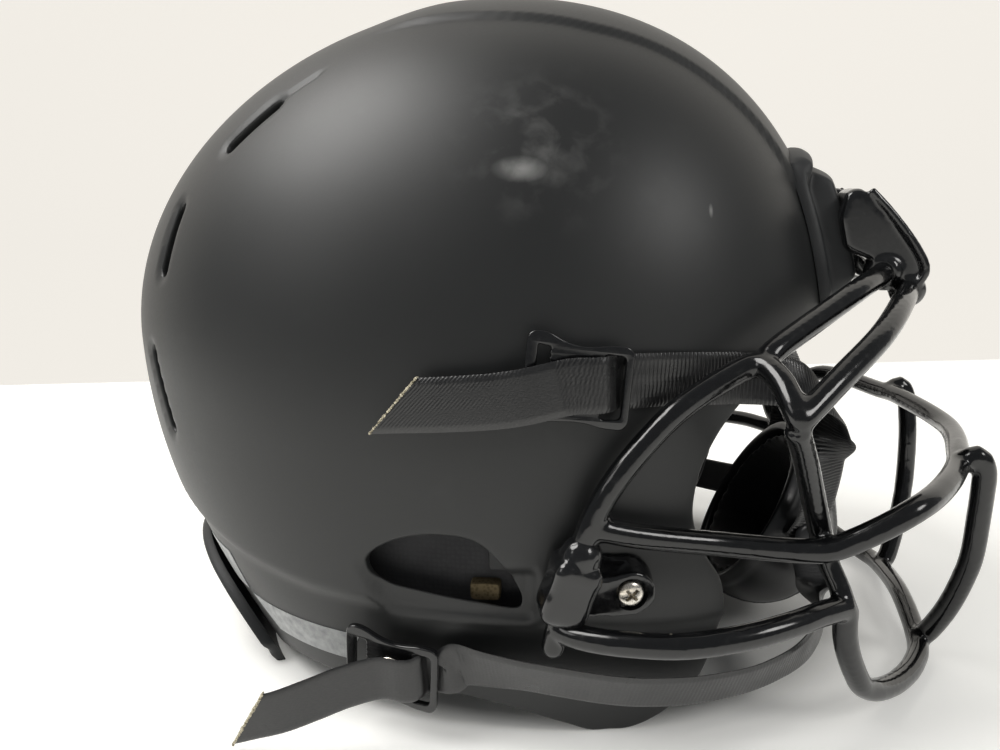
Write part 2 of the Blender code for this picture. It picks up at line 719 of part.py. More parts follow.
def build_mask():
    """The facemask's wires, each welded to its neighbours."""
    upper = smooth(across(BROW_BAR_UPPER), WIRE_STEP)
    lower = smooth(across(BROW_BAR_LOWER), WIRE_STEP)
    main = smooth(across(MAIN_BAR), WIRE_STEP)
    loop = smooth(across(CHIN_LOOP), WIRE_STEP)
    wires = {"mask_main_bar": main}
    sides = {side: smooth(mirrored(SIDE_BAR, sign), 6.0) for side, sign in SIDES.items()}
    both = list(sides.values())
    wires["mask_brow_bar_upper"] = cut_back_both(upper, both)
    wires["mask_brow_bar_lower"] = cut_back_both(lower, both)
    wires["mask_main_bar"] = cut_back_both(main, both)
    corners = []
    for side, sign in SIDES.items():
        wires["mask_side_bar_" + side] = sides[side]
        bar = smooth(mirrored(LOWER_SIDE_BAR, sign), WIRE_STEP)
        bar = cut_back(bar, [sides[side]])
        wires["mask_lower_side_bar_" + side] = bar
        strut = smooth(mirrored(STRUT, sign), WIRE_STEP)
        strut = cut_back(strut, [lower, sides[side]])
        wires["mask_strut_" + side] = cut_back(strut[::-1], [bar])
        corners.append(bar)
        corners.append(wires["mask_strut_" + side])
        vertical = smooth(mirrored(CHIN_VERTICAL, sign), WIRE_STEP)
        wires["mask_chin_vertical_" + side] = cut_back(vertical[::-1], [loop])
    wires["mask_chin_loop"] = cut_back_both(loop, corners)
    for name, path in wires.items():
        add_object(name, tube_mesh(name, path, WIRE_RADIUS), "mask_coating")


def build_side_clips():
    """Side clips: a sleeve round the side bar, and a lug screwed to the shell."""
    for side, sign in SIDES.items():
        place, normal = side_screw_frame(sign)
        bar = smooth(mirrored(SIDE_BAR, sign), 6.0)
        low = Vector((56.2, -114.6 * sign, 51.8))
        high = Vector((60.6, -113.8 * sign, 66.0))
        name = "side_clip_" + side
        sleeve = tube_mesh(name, [low, high], SLEEVE_RADIUS, 3)
        clip = add_object(name, sleeve, "gloss_plastic")
        frame = frame_at(place + normal * (SIDE_CLIP_HEIGHT / 2 + GAP + 0.4), normal)
        forward = sign
        lug = [(forward * -17.0, -6.4), (forward * 0.5, -6.4)]
        lug += [(forward * (0.5 + 7.0 * math.sin(math.radians(a))), -7.0 * math.cos(math.radians(a)))
                for a in (30, 60, 90, 120, 150)]
        lug += [(forward * 0.5, 7.4), (forward * -15.0, 9.0)]
        plate = plate_mesh(name + "_lug", [lug], SIDE_CLIP_HEIGHT / 2, frame)
        boolean(clip, add_object(name + "_lug", plate, None), "UNION")
        channel = tube_mesh(name + "_channel", bar, WIRE_RADIUS + GAP)
        boolean(clip, add_object(name + "_channel", channel, None))
        boolean(clip, rod_cutter(name + "_hole", place, normal, SCREW_HOLE_RADIUS, 20))
        boolean(clip, shell_cutter(name + "_shell", sign))
        build_screw("side_clip_screw_" + side, place, normal, SIDE_CLIP_HEIGHT + 0.9, 16)
        build_t_nut("side_t_nut_" + side, place, normal, SHELL_THICKNESS + 1.2)


def shell_cutter(name, sign):
    """The stretch of the shell behind a side clip, as a solid that the clip is cut against."""
    rows = []
    for z in (36, 44, 52, 60, 68, 76):
        rows.append([on_side(x, z, sign) for x in (38, 48, 58, 68, 78, 88, 96)])
    rows = [[p + GAP * shell_normal(p) for p in row] for row in rows]
    mesh = sheet_mesh(name, rows)
    cutter = add_object(name, mesh, None)
    solidify(cutter, 14.0, facing_inward(mesh))
    return cutter


def build_top_clips():
    """Top clips: blocks on the front bumper that hold both brow bars."""
    upright = Matrix.Rotation(math.radians(90), 4, "X")
    upper = smooth(across(BROW_BAR_UPPER), WIRE_STEP)
    lower = smooth(across(BROW_BAR_LOWER), WIRE_STEP)
    for side, sign in SIDES.items():
        name = "top_clip_" + side
        middle = 0.5 * (TOP_CLIP_Y[0] + TOP_CLIP_Y[1])
        half = 0.5 * (TOP_CLIP_Y[1] - TOP_CLIP_Y[0])
        move = Matrix.Translation(Vector((0, -sign * middle, 0)) * MM)
        mesh = plate_mesh(name, [TOP_CLIP_OUTLINE], half, move @ upright)
        clip = add_object(name, mesh, "gloss_plastic")
        bevel(clip, 1.5)
        for number, path in enumerate((upper, lower)):
            channel = tube_mesh("%s_channel_%d" % (name, number), path, WIRE_RADIUS + GAP)
            boolean(clip, add_object(channel.name, channel, None))
        boolean(clip, bumper_cutter(name + "_bumper"))
        place, axis = top_screw_frame(sign)
        boolean(clip, rod_cutter(name + "_hole", place, axis, SCREW_HOLE_RADIUS, 30))
        nut_place = top_nut_place(sign)
        build_screw("top_clip_screw_" + side, place, axis, GAP, (place - nut_place).length + 5.5)
        build_t_nut("top_t_nut_" + side, nut_place, axis, 0.0)


def top_nut_place(sign):
    """Point just inside the shell on a top screw's line."""
    place, axis = top_screw_frame(sign)
    surface = to_shell(place - 60 * axis, axis)
    return surface - (SHELL_THICKNESS + 5.5) * axis


def bumper_cutter(name):
    """The front bumper's outer surface as a solid, for cutting the clips that stand on it."""
    source = bpy.data.objects["front_bumper"]
    cutter = source.copy()
    cutter.data = source.data.copy()
    cutter.name = name
    for modifier in list(cutter.modifiers)[1:]:
        cutter.modifiers.remove(modifier)
    cutter.modifiers[0].thickness = (FRONT_BUMPER_THICKNESS[1] + GAP) * MM
    CUTTERS.objects.link(cutter)
    cutter.hide_render = True
    cutter.display_type = "WIRE"
    return cutter


def ribbon_rows(path, leans, width, side, upward):
    """Edges of a flat strap; a lean of 0 stands upright, and leans turn its top outward."""
    rows = []
    for i, point in enumerate(path):
        ahead = path[min(i + 1, len(path) - 1)] - path[max(i - 1, 0)]
        ahead.normalize()
        upright = (upward - ahead * ahead.dot(upward)).normalized()
        turn = Matrix.Rotation(math.radians(-leans[i] * side), 3, ahead)
        span = turn @ upright
        rows.append([point - span * width / 2, point + span * width / 2])
    return rows


def strap_object(name, path, leans, side, parent=None, upward=Vector((0, 0, 1))):
    rows = ribbon_rows(path, leans, WEBBING_WIDTH, side, upward)
    mesh = sheet_mesh(name, rows)
    strap = add_object(name, mesh, "webbing", parent)
    solidify(strap, WEBBING_THICKNESS, 0.0)
    return strap


def smooth_pairs(path, leans, step):
    """Smooth a path and its leans together."""
    fine = smooth(path, step)
    result = []
    for point in fine:
        best = min(range(len(path) - 1), key=lambda i: segment_distance(point, path[i], path[i + 1]))
        t = share_along(point, path[best], path[best + 1])
        result.append(leans[best] + t * (leans[best + 1] - leans[best]))
    return fine, result


def build_chin_straps():
    """Studs on the shell, the buckles snapped to them, and the straps to the chin cup."""
    for side, sign in SIDES.items():
        for level, (x, z) in STUD_PLACE.items():
            place = on_side(x, z, sign)
            normal = shell_normal(place)
            label = level + "_" + side
            build_buckle(label, place, normal, level, sign)
            path = [off_shell(x, z, off, sign) for x, z, off in SHELL_STRETCH[level]]
            path += mirrored(FREE_STRETCH[level], sign)
            path, leans = smooth_pairs(path, STRAP_LEAN[level], 12)
            strap_object("strap_" + label, path, leans, sign)


def build_buckle(label, place, normal, level, sign):
    frame = frame_at(place, normal)
    stud = [(0, STUD_HEIGHT), (STUD_RADIUS * 0.7, STUD_HEIGHT), (STUD_RADIUS * 0.55, 1.8),
            (STUD_RADIUS, 1.2), (STUD_RADIUS, GAP + 0.2), (0, GAP + 0.2)]
    add_object("snap_stud_" + label, lathe_mesh("snap_stud_" + label, stud, frame, 12), "nickel")
    pivot = make_empty("snap_pivot_" + label, place)
    pivot.parent = HELMET
    bottom = STUD_HEIGHT + GAP
    tilt = Matrix.Rotation(math.radians(BUCKLE_TILT[level] * sign), 4, "Z")
    lift = Matrix.Translation((0, 0, (bottom + BUCKLE_THICKNESS / 2) * MM))
    length = BUCKLE_HALF_LENGTH
    outline = [(-length, 0), (-length, 10.5), (-length + 2, 12.5), (-8, 12.5), (0, 10.6),
               (8, 11.6), (length - 1.5, 11.8), (length, 10.3)]
    outline += [(u, -v) for u, v in outline[:0:-1]]
    outline = [(u * sign, v) for u, v in outline]
    slots = [rounded_box(-12.6, -8.6, -8.8, 8.8, 0.8, 1), rounded_box(6.9, 13.4, -9.4, 9.4, 0.8, 1)]
    slots = [[(u * sign, v) for u, v in slot] for slot in slots]
    hole = circle(4.2, 12)
    mesh = plate_mesh("buckle_" + label, [outline, *slots, hole], BUCKLE_THICKNESS / 2,
                      frame @ tilt @ lift)
    add_object("buckle_" + label, mesh, "gloss_plastic", pivot)
    top = bottom + BUCKLE_THICKNESS
    cap = [(0, top + 1.2), (CAP_RADIUS * 0.8, top + 1.1), (CAP_RADIUS, top + 0.5),
           (CAP_RADIUS, top + GAP), (3.8, top + GAP), (3.8, bottom), (0, bottom)]
    add_object("snap_cap_" + label, lathe_mesh("snap_cap_" + label, cap, frame, 14), "nickel", pivot)
    forward = frame.to_3x3() @ Vector((sign, 0, 0))
    through = [place + u * forward + h * normal for u, h in SLOT_PASS]
    tail = smooth(mirrored(TAIL_PATHS[level], sign) + through[:2], 14)[:-1] + through[1:]
    strap_object("strap_tail_" + label, tail, [0] * len(tail), sign, pivot,
                 frame.to_3x3() @ Vector((0, 1, 0)))


def cup_mesh(name, shrink):
    """Half of an ellipsoid bowl, cut by a plane that faces the rear and up."""
    work = bmesh.new()
    bmesh.ops.create_uvsphere(work, u_segments=18, v_segments=10, radius=1.0)
    radii = CUP_RADII - Vector((shrink,) * 3)
    bmesh.ops.scale(work, vec=radii * MM, verts=work.verts)
    facing = Vector((-math.cos(math.radians(CUP_OPEN_TILT)), 0, math.sin(math.radians(CUP_OPEN_TILT))))
    everything = list(work.verts) + list(work.edges) + list(work.faces)
    bmesh.ops.bisect_plane(work, geom=everything, dist=0.00001, plane_co=facing * 6.0 * MM,
                           plane_no=facing, clear_outer=True)
    bmesh.ops.translate(work, vec=CUP_CENTRE * MM, verts=work.verts)
    mesh = mesh_from_bmesh(name, work)
    shade(mesh)
    return mesh


def build_chin_cup():
    mesh = cup_mesh("chin_cup", 0.0)
    cup = add_object("chin_cup", mesh, "soft_plastic", CHIN)
    solidify(cup, CUP_THICKNESS, -1.0 if cup_faces_out(mesh) else 1.0)
    pad_mesh = cup_mesh("chin_cup_pad", CUP_THICKNESS + 0.5)
    pad = add_object("chin_cup_pad", pad_mesh, "foam", CHIN)
    solidify(pad, CUP_PAD_THICKNESS, -1.0 if cup_faces_out(pad_mesh) else 1.0)


def cup_faces_out(mesh):
    return sum(p.normal.dot(p.center - CUP_CENTRE * MM) for p in mesh.polygons) > 0


clear_scene()
PARTS = make_collection("american_football_helmet")
CUTTERS = make_collection("cutters")
HELMET = bpy.data.objects.new("helmet_frame", None)
HELMET.location = ORIGIN_SHIFT * MM
PARTS.objects.link(HELMET)
CHIN = make_empty("chin_pivot", CHIN_AXIS)
CHIN.parent = HELMET

build_shell()
build_front_bumper()
build_rear_bumper()
build_mask()
build_side_clips()
build_top_clips()
build_pads()
build_chin_straps()
build_chin_cup()
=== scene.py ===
"""Looks of the american football helmet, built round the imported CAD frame.

Shapes are laid out in the helmet's own millimetres: +X to the front, +Y to the wearer's left,
+Z up, measured from under the middle of the shell. to_row() moves them into the row's frame.
Paths are given for the right side, where y is negative, and mirrored for the left.
"""
import math

import bmesh
import bpy
import numpy as np
from mathutils import Matrix, Vector


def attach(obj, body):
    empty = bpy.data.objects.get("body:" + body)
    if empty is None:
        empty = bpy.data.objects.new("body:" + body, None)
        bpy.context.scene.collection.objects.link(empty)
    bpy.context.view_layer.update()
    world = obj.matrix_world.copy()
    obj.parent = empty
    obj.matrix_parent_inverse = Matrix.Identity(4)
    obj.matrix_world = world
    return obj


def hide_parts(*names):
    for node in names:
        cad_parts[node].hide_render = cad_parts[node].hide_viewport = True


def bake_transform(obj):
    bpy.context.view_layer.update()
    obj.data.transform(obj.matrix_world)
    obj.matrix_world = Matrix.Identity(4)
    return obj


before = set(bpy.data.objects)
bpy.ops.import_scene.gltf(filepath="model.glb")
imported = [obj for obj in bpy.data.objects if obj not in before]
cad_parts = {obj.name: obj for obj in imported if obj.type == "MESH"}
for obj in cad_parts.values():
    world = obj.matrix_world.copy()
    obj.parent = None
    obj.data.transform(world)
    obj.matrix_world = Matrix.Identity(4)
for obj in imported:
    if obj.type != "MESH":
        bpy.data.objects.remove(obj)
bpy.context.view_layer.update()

MM = 0.001
SHIFT_X = -28.288                     # the row's origin from the point under the shell's middle
SIDES = {"right": 1, "left": -1}
LEVELS = ("upper", "lower")

# Shell surface
CENTRE_X = 10.0
FRONT = 133.4
REAR = 146.6
HALF_WIDTH = 112.3
TOP = 242.0
WIDEST_Z = (101.9, 88.2, 126.6)       # front, side, rear
DOME_POWER = (2.27, 2.10, 1.85)
LOWER_TUCK = (0.03, 0.05, 0.354)
TUCK_POWER = 2.2
PLAN_POWER = 2.05
JAW_FULLNESS = 0.45
JAW_TOP_Z = 110.0
SHELL_THICKNESS = 4.0
EYE = np.array([CENTRE_X, 0.0, 95.0])
SHELL_COLUMNS = 420
SHELL_RINGS = 190
LOWEST_ELEVATION = -50.0
RIM = [(-170, 9), (-95, 7), (-66, 6), (-45, 11), (-16, 12), (15, 13), (35, 9.5), (55, 3.0),
       (63, 0), (69, 0), (76, 0), (84, 3), (92, 8.5), (98, 15), (102, 24), (104.5, 34), (104.8, 42),
       (103.2, 51), (98.4, 60), (95, 69), (94, 77), (96, 88), (101, 98.5), (108, 107),
       (118, 116), (130, 123), (143, 128), (170, 131)]
EAR_HOLE = [(0, 51.5), (-5, 54.5), (-7, 59), (-4.5, 63.5), (3, 68), (12, 70.5), (19, 71),
            (26, 70.4), (31, 68.3), (34.5, 65), (38.5, 59.5), (42, 52.5), (43, 48.5), (41, 45.5),
            (30, 46.9), (19.5, 48.3), (9, 50.0)]
VENT_SLOTS = [((-68, -67, 189), (-47, -63, 205), 6.0), ((-93, -75, 146), (-87, -67, 172), 6.0),
              ((-101, -74, 121), (-91, -82, 90), 5.0)]
RIM_ROUND = 1.0
RIM_PROFILE = [(0, 0), (0.5, 0.13), (0.87, 0.5), (1, 1), (1, 3), (0.87, 3.5), (0.5, 3.87), (0, 4)]
CREASE = [(-140, 84), (-118, 73), (-99, 61), (-78, 54.5), (-58, 50), (-29, 46), (-4.5, 45), (20, 43.5),
          (47, 41), (75, 38), (100, 36), (150, 34)]
BAND_EDGE = [(-30, 46.5), (-8.6, 46.5), (31.9, 46.4), (57, 45), (82, 39.4), (98.6, 36), (106.4, 34),
             (140, 26)]

# Mask wires
WIRE_RADIUS = 3.8
BROW_BAR_UPPER = [(113.5, -88.3, 123.3), (117.5, -84.3, 126.3), (133, -66.7, 134), (145, -51.5, 139.5),
                  (155, -32, 142), (160.4, -8.3, 142.5), (161, 0, 142.5)]
BROW_BAR_LOWER = [(121, -106, 109.5), (133, -93.6, 119), (146, -77.3, 128), (156, -55.4, 134),
                  (165, -25, 136), (167.5, 0, 136.5)]
SIDE_BAR = [(121, -105.7, 109.8), (119.5, -104, 112.5), (116, -96.5, 119), (110, -90, 121.5),
            (97.2, -95.1, 115.4),
            (85.8, -102.2, 107.7), (73.9, -108.8, 94.5), (66, -112, 81.4), (60.1, -113.9, 64.1),
            (56.2, -114.6, 51.2), (53.6, -115, 39.5)]
MAIN_BAR = [(65.9, -112.1, 76.9), (79.3, -107.4, 73.2), (102.5, -98.5, 68.5), (125.4, -96, 67.1),
            (134.2, -95.3, 68.2), (147, -93.5, 74.6), (157.2, -89.3, 79.8), (166.3, -76.6, 80.6),
            (176, -57, 80.3), (182, -40, 81), (189.5, 0, 80.1)]
STRUT = [(120.3, -105.9, 107), (124, -98.5, 96.3), (128, -91.5, 82), (131.7, -87.7, 68),
         (134, -87.7, 60.5), (137, -90, 54), (139.5, -92.5, 47)]
LOWER_SIDE_BAR = [(55, -115.4, 45.6), (62, -118.6, 45.4), (73.8, -120.8, 45.9), (90.5, -120.7, 46.8),
                  (107, -116.3, 48.4), (121, -108.5, 49.4), (132, -99, 49.2), (139, -92.6, 48)]
CHIN_LOOP = [(139, -92.6, 48), (139.6, -91.2, 39), (141.3, -89.5, 31.3), (144.6, -86, 22.4),
             (148.1, -81.7, 15.5), (154.4, -74.6, 10.3), (163.6, -62.2, 6.3), (172.5, -47, 4.6),
             (177.3, -32, 5.4), (178.4, 0, 8.4)]
CHIN_VERTICAL = [(180.5, -50, 81.5), (184.5, -50.3, 84), (187.2, -49.8, 79), (187.8, -48.5, 72),
                 (188.3, -46.4, 62), (188.2, -44.4, 46.4), (186.8, -40.9, 33.7), (184.2, -36.9, 21.1),
                 (180.4, -32, 9.1), (177.6, -31, 6)]


# Stage: how strongly the table, wall and room glow, and the lights as (place, size, watts)
FLOOR_GLOW = 0.34
WALL_GLOW = 0.80
ROOM_LIGHT = 0.20
LIGHTS = [("light_overhead", (-0.75, -0.25, 1.25), 0.9, 17.0), ("light_front", (1.15, -0.55, 1.0), 0.5, 5.0),
          ("light_left", (-1.1, -0.9, 0.9), 0.5, 1.5)]

TABLE_END = (-0.10, 0.42, 0.0)
WALL_AWAY = 3.0
STAGE_TURN = 13.0
PAINTED_SHADOW_EDGE = (0.118, 0.145)            # the table's glow starts and is full at these distances; nearer the helmet it is left dark as a painted shadow
CAMERA_PLACE = (89.0, -329.9, 173.0)
CAMERA_YAW, CAMERA_PITCH, CAMERA_ROLL = 13.0, -12.9, -1.5
CAMERA_LENS = 29.02

# Side and top clips, and screws
SIDE_CLIP_SCREW = (73.5, 55.0)        # x, z on the shell
SLEEVE_ENDS = [(54.7, -115.0, 48.5), (61.7, -113.5, 68.0)]
TOP_CLIP_Y = (10.5, 30.5)
TOP_CLIP_OUTLINE = [(140.5, 161), (142.5, 169.8), (147.3, 171), (161.0, 155.5), (168.5, 143.5), (164, 133),
                    (157, 137), (152, 146), (143, 150)]
TOP_SCREW_FACE = np.array([155.2, -20.5, 163.5])
TOP_SCREW_AXIS = np.array([0.764, 0.0, 0.645])
SCREW_HEAD = (4.0, 2.2)               # radius, height
SCREW_SHANK_RADIUS = 2.2
SCREW_HOLE_RADIUS = 2.6
REAR_SCREW_ANGLE = 32.0
REAR_SCREW_Z = 12.0

# Bumpers
FRONT_BUMPER_HALF_WIDTH = 36.0
FRONT_BUMPER_Z = (131.5, 185.0)
REAR_BUMPER_HALF_ANGLE = 50.0
REAR_BUMPER_TOP = 41.0

# Chin straps
STUD_PLACE = {"upper": (59.0, 118.0), "lower": (1.5, 24.5)}
BUCKLE_TILT = {"upper": -7.0, "lower": -6.0}
BUCKLE_BOTTOM = 3.5                   # height over the shell
BUCKLE_THICKNESS = 2.2
BUCKLE_TOP = [(-15.6, 10.8), (-15.4, 13.6), (-13.2, 14.9), (-9.5, 14.5), (-4.5, 12.0), (0, 11.0),
              (4, 11.2), (8, 12.0), (13.8, 12.0), (15.5, 10.2)]
BUCKLE_LOWER = [(15.5, -10.2), (13.8, -12.2), (8, -12.0), (4, -11.0), (0, -10.6), (-9, -11.2),
                (-15.5, -11.0)]
WEBBING_WIDTH = 16.0
WEBBING_THICKNESS = 1.4
RIB_PITCH = 1.3
STRAP_RIBS = {"upper": (0.10, 0.62, 0.45), "lower": (0.04, 0.16, 0.06)}
TAIL_PATHS = {"upper": [(8, -117.5, 113), (22, -118, 114), (36, -117.8, 115.2), (46, -116.8, 116.6)],
              "lower": [(-42, -129.5, 12), (-32, -127.5, 14.5), (-22, -124.5, 18), (-12, -121, 21.5)]}
SLOT_PASS = [(-3.0, 8.9), (4.0, 8.7), (7.6, 7.8), (9.8, 5.2), (11.2, 2.8), (14.0, 1.7), (18.0, 1.5)]
SHELL_STRETCH = {"upper": [(85, 117.4, 1.5), (94, 116.6, 1.5), (106, 115, 1.5)],
                 "lower": [(22.6, 27.5, 2.0), (31, 28.3, 4.5), (44, 28, 7), (67, 24.5, 9.5)]}
FREE_STRETCH = {
    "upper": [(119, -74.5, 113.5), (129, -66.5, 110), (136.5, -59, 102), (138.5, -54, 92), (138, -53, 80),
              (137, -50, 68), (135.5, -46.8, 58), (132, -45, 50)],
    "lower": [(84, -107, 22), (97, -101, 20.6), (112, -93, 20.6), (124, -84, 22), (132, -75, 24),
              (136.5, -66, 27), (138, -59, 31), (138, -52, 37), (136, -47, 44), (132, -45.4, 50)],
}
STRAP_LEAN = {"upper": [0, 4, 8, 20, 35, 50, 60],
              "lower": [-8, -18, -26, -26, -26, -26, -26, -22, -12, -2, 6]}
CUP_END_SPAN = {"upper": (-0.75, -0.62, 0.15), "lower": (0.78, 0.40, 0.30)}
TAIL_SLANT = 16.0
STRAP_OVERLAP = 0.2                   # how far the two pieces of a strap run past their joint
FRAY_SEED = 7
STRAP_SPLIT = {"upper": 0.56, "lower": 0.40}   # share of the length on the buckle's piece

# Chin cup
CUP_CENTRE = np.array([120.0, 0.0, 43.0])
CUP_RADII = np.array([31.0, 49.0, 36.0])
CUP_THICKNESS = 2.6
CUP_OPEN_TILT = 32.0
CUP_FACING = np.array([-math.cos(math.radians(CUP_OPEN_TILT)), 0.0, math.sin(math.radians(CUP_OPEN_TILT))])
CUP_CUT = 6.0                         # the cut plane's distance from the centre
CUP_BOSS = np.array([131.5, -45.5, 50.0])
CUP_SLOTS = [((-13, 0), 2.2, 6.5), ((13, 0), 2.2, 6.5), ((0, 0), 2.2, 8.5)]
CUP_PAD_THICKNESS = 5.0

# Liner pads: angles round the shell, elevations, thickness, room to the shell
PADS = {
    "crown_pad": ((0, 360), (64, 90), 16.0, 0.8),
    "front_pad": ((-38, 38), (27, 58), 15.0, 0.8),
    "rear_upper_pad": ((150, 210), (24, 58), 20.0, 0.8),
    "rear_lower_pad": ((152, 208), (-14, 18), 20.0, 0.8),
    "nape_pad": ((154, 206), (-44, -20), 14.0, 0.8),
    "side_upper_pad_right": ((218, 310), (12, 57), 14.0, 0.8),
    "side_upper_pad_left": ((50, 142), (12, 57), 14.0, 0.8),
    "jaw_pad_right": ((297, 318), (-36, -6), 12.0, 7.0),
    "jaw_pad_left": ((42, 63), (-36, -6), 12.0, 7.0),
}

PAD_MARGIN = 1.6                      # left free over and under a slab for it to swell into
SEAM_DEPTH = 2.6
SEAM_WIDTH = 3.2
CROWN_SEAM = 78.0                     # elevation of the crown pad's seam
CLOTH_FRAMES = 20
CLOTH_PRESSURE = 4.0
MOST_SWELL = 1.5                      # how far cloth may move a point

# Behind each ear hole; a fitting is its name, x and z, and half sizes
EAR_PAD_ANGLES = (255.0, 295.5)
EAR_PAD_LEVELS = (-35.0, -9.0)
EAR_PAD_GAP = 7.5
EAR_PAD_THICKNESS = 6.0
EAR_FITTINGS = [("ear_foam", (30.5, 48.2), (4.8, 3.0, 2.2)), ("ear_tab", (35.5, 60.0), (3.6, 5.5, 0.8))]


# Numbers and curves

def to_row(points):
    """Layout millimetres to the row's metres."""
    return (np.asarray(points, float).reshape(-1, 3) + (SHIFT_X, 0.0, 0.0)) * MM


def place(x, y, z):
    return Vector(to_row((x, y, z))[0])


def unit(v):
    v = np.asarray(v, float)
    return v / np.maximum(np.linalg.norm(v, axis=-1, keepdims=True), 1e-12)


def smoothstep(low, high, value):
    t = np.clip((value - low) / (high - low), 0.0, 1.0)
    return t * t * (3.0 - 2.0 * t)


def flipped(path, sign):
    return np.asarray(path, float) * (1.0, sign, 1.0)


def across(half):
    """A whole path from its right half, which ends on the middle plane."""
    half = np.asarray(half, float)
    return np.vstack([half, (half * (1.0, -1.0, 1.0))[-2::-1]])


def smooth(path, step, closed=False):
    """Points about one step apart on a Catmull-Rom curve through the path's points."""
    path = np.asarray(path, float)
    if closed:
        points = np.vstack([path[-1], path, path[0], path[1]])
    else:
        points = np.vstack([2 * path[0] - path[1], path, 2 * path[-1] - path[-2]])
    result = []
    for i in range(1, len(points) - 2):
        a, b, c, d = points[i - 1:i + 3]
        count = max(1, round(float(np.linalg.norm(c - b)) / step))
        for k in range(count):
            t = k / count
            result.append(0.5 * (2 * b + (c - a) * t + (2 * a - 5 * b + 4 * c - d) * t * t
                                 + (3 * b - a - 3 * c + d) * t ** 3))
    if not closed:
        result.append(path[-1])
    return np.array(result)


# Shell surface functions, on arrays

def shell_radius(phi, z):
    """Distance from the shell's upright middle line to its outer surface, at one height."""
    cosine, sine = np.cos(phi), np.sin(phi)
    front = np.maximum(cosine, 0.0) ** 2
    rear = np.maximum(-cosine, 0.0) ** 2
    weights = (front, 1.0 - front - rear, rear)
    widest = sum(w * v for w, v in zip(weights, WIDEST_Z))
    power = sum(w * v for w, v in zip(weights, DOME_POWER))
    tuck = sum(w * v for w, v in zip(weights, LOWER_TUCK))
    low = np.clip((JAW_TOP_Z - z) / JAW_TOP_Z, 0.0, 1.0)
    plan = PLAN_POWER + JAW_FULLNESS * low * np.sqrt(np.maximum(cosine, 0.0))
    half_length = np.where(cosine >= 0, FRONT, REAR)
    section = ((np.abs(cosine) / half_length) ** plan
               + (np.abs(sine) / HALF_WIDTH) ** plan) ** (-1.0 / plan)
    rise = np.clip((z - widest) / (TOP - widest), 0.0, 1.0)
    drop = np.clip((widest - z) / widest, 0.0, 1.3)
    return section * (1.0 - rise ** power) ** (1.0 / power) * (1.0 - tuck * drop ** TUCK_POWER)


def outside(points):
    """Positive outside the shell's outer surface, negative inside."""
    x = points[..., 0] - CENTRE_X
    y = points[..., 1]
    return np.hypot(x, y) - shell_radius(np.arctan2(y, x), points[..., 2])


def to_shell(start, direction, reach=400.0):
    """Where lines that start inside the shell cross its outer surface."""
    start, direction = np.broadcast_arrays(np.asarray(start, float), np.asarray(direction, float))
    near = np.zeros(start.shape[:-1])
    far = near + reach
    for _ in range(40):
        middle = 0.5 * (near + far)
        point = start + middle[..., None] * direction
        inner = (point[..., 2] < TOP) & (outside(point) < 0)
        near = np.where(inner, middle, near)
        far = np.where(inner, far, middle)
    return start + near[..., None] * direction


def shell_normal(points):
    """Outward unit normals of the shell at points near its outer surface."""
    points = np.asarray(points, float)
    inner = points + 0.02 * (EYE - points)
    step = 0.6 * np.eye(3)
    return unit(np.stack([outside(inner + s) - outside(inner - s) for s in step], axis=-1))


def on_side(x, z, sign=1):
    """Point of the shell's side at x and z; sign 1 is the right."""
    return to_shell((x, 0.0, z), (0.0, -float(sign), 0.0))


def off_shell(x, z, distance, sign=1):
    point = on_side(x, z, sign)
    return point + distance * shell_normal(point)


def towards(angle_deg, elevation_deg):
    """Unit vectors for angles round the shell and elevations, both in degrees."""
    angle, up = np.radians(angle_deg), np.radians(elevation_deg)
    return np.stack([np.cos(up) * np.cos(angle), np.cos(up) * np.sin(angle),
                     np.sin(up) + 0 * angle], axis=-1)


# Meshes

def make_object(name, points, faces, angle=None):
    """A smooth-shaded mesh object from layout points; edges sharper than the angle stay sharp."""
    mesh = bpy.data.meshes.new(name)
    mesh.from_pydata(to_row(points).tolist(), [], [[int(i) for i in f] for f in faces])
    mesh.validate()
    mesh.shade_smooth()
    if angle is not None:
        mesh.set_sharp_from_angle(angle=math.radians(angle))
    obj = bpy.data.objects.new(name, mesh)
    bpy.context.scene.collection.objects.link(obj)
    return obj


def grid_faces(rows, columns, wrap=False, start=0, flip=False):
    """Quads of a grid of points stored row by row."""
    faces = []
    for i in range(rows - 1):
        for k in range(columns if wrap else columns - 1):
            j = (k + 1) % columns
            quad = [start + i * columns + k, start + i * columns + j,
                    start + (i + 1) * columns + j, start + (i + 1) * columns + k]
            faces.append(quad[::-1] if flip else quad)
    return faces


def end_faces(rows, count, flip=False):
    """The faces that close the first and last rings of a grid."""
    ends = [list(range(count))[::-1], [(rows - 1) * count + k for k in range(count)]]
    return [e[::-1] for e in ends] if flip else ends


def ring_strip(first, second, count):
    """Quads between two rings that start at the given points."""
    following = [(k + 1) % count for k in range(count)]
    return [[first + k, first + j, second + j, second + k] for k, j in enumerate(following)]


def sweep(path, section, upward=(0.0, 0.0, 1.0), scales=None):
    """Points and faces of a closed section swept along a path. A section point is (across, up)."""
    path = np.asarray(path, float)
    section = np.asarray(section, float)
    ahead = unit(np.gradient(path, axis=0))
    upward = np.broadcast_to(np.asarray(upward, float), path.shape)
    side = unit(np.cross(ahead, upward))
    up = np.cross(side, ahead)
    scales = np.ones(len(path)) if scales is None else np.asarray(scales, float)
    rings = (path[:, None, :] + (section[None, :, 0, None] * side[:, None, :]
                                 + section[None, :, 1, None] * up[:, None, :]) * scales[:, None, None])
    count = len(section)
    return rings.reshape(-1, 3), grid_faces(len(path), count, wrap=True) + end_faces(len(path), count, True)


def ring_section(radius, count=16, flat=1.0):
    turn = np.arange(count) * 2 * math.pi / count
    return np.stack([radius * np.cos(turn), radius * flat * np.sin(turn)], axis=1)


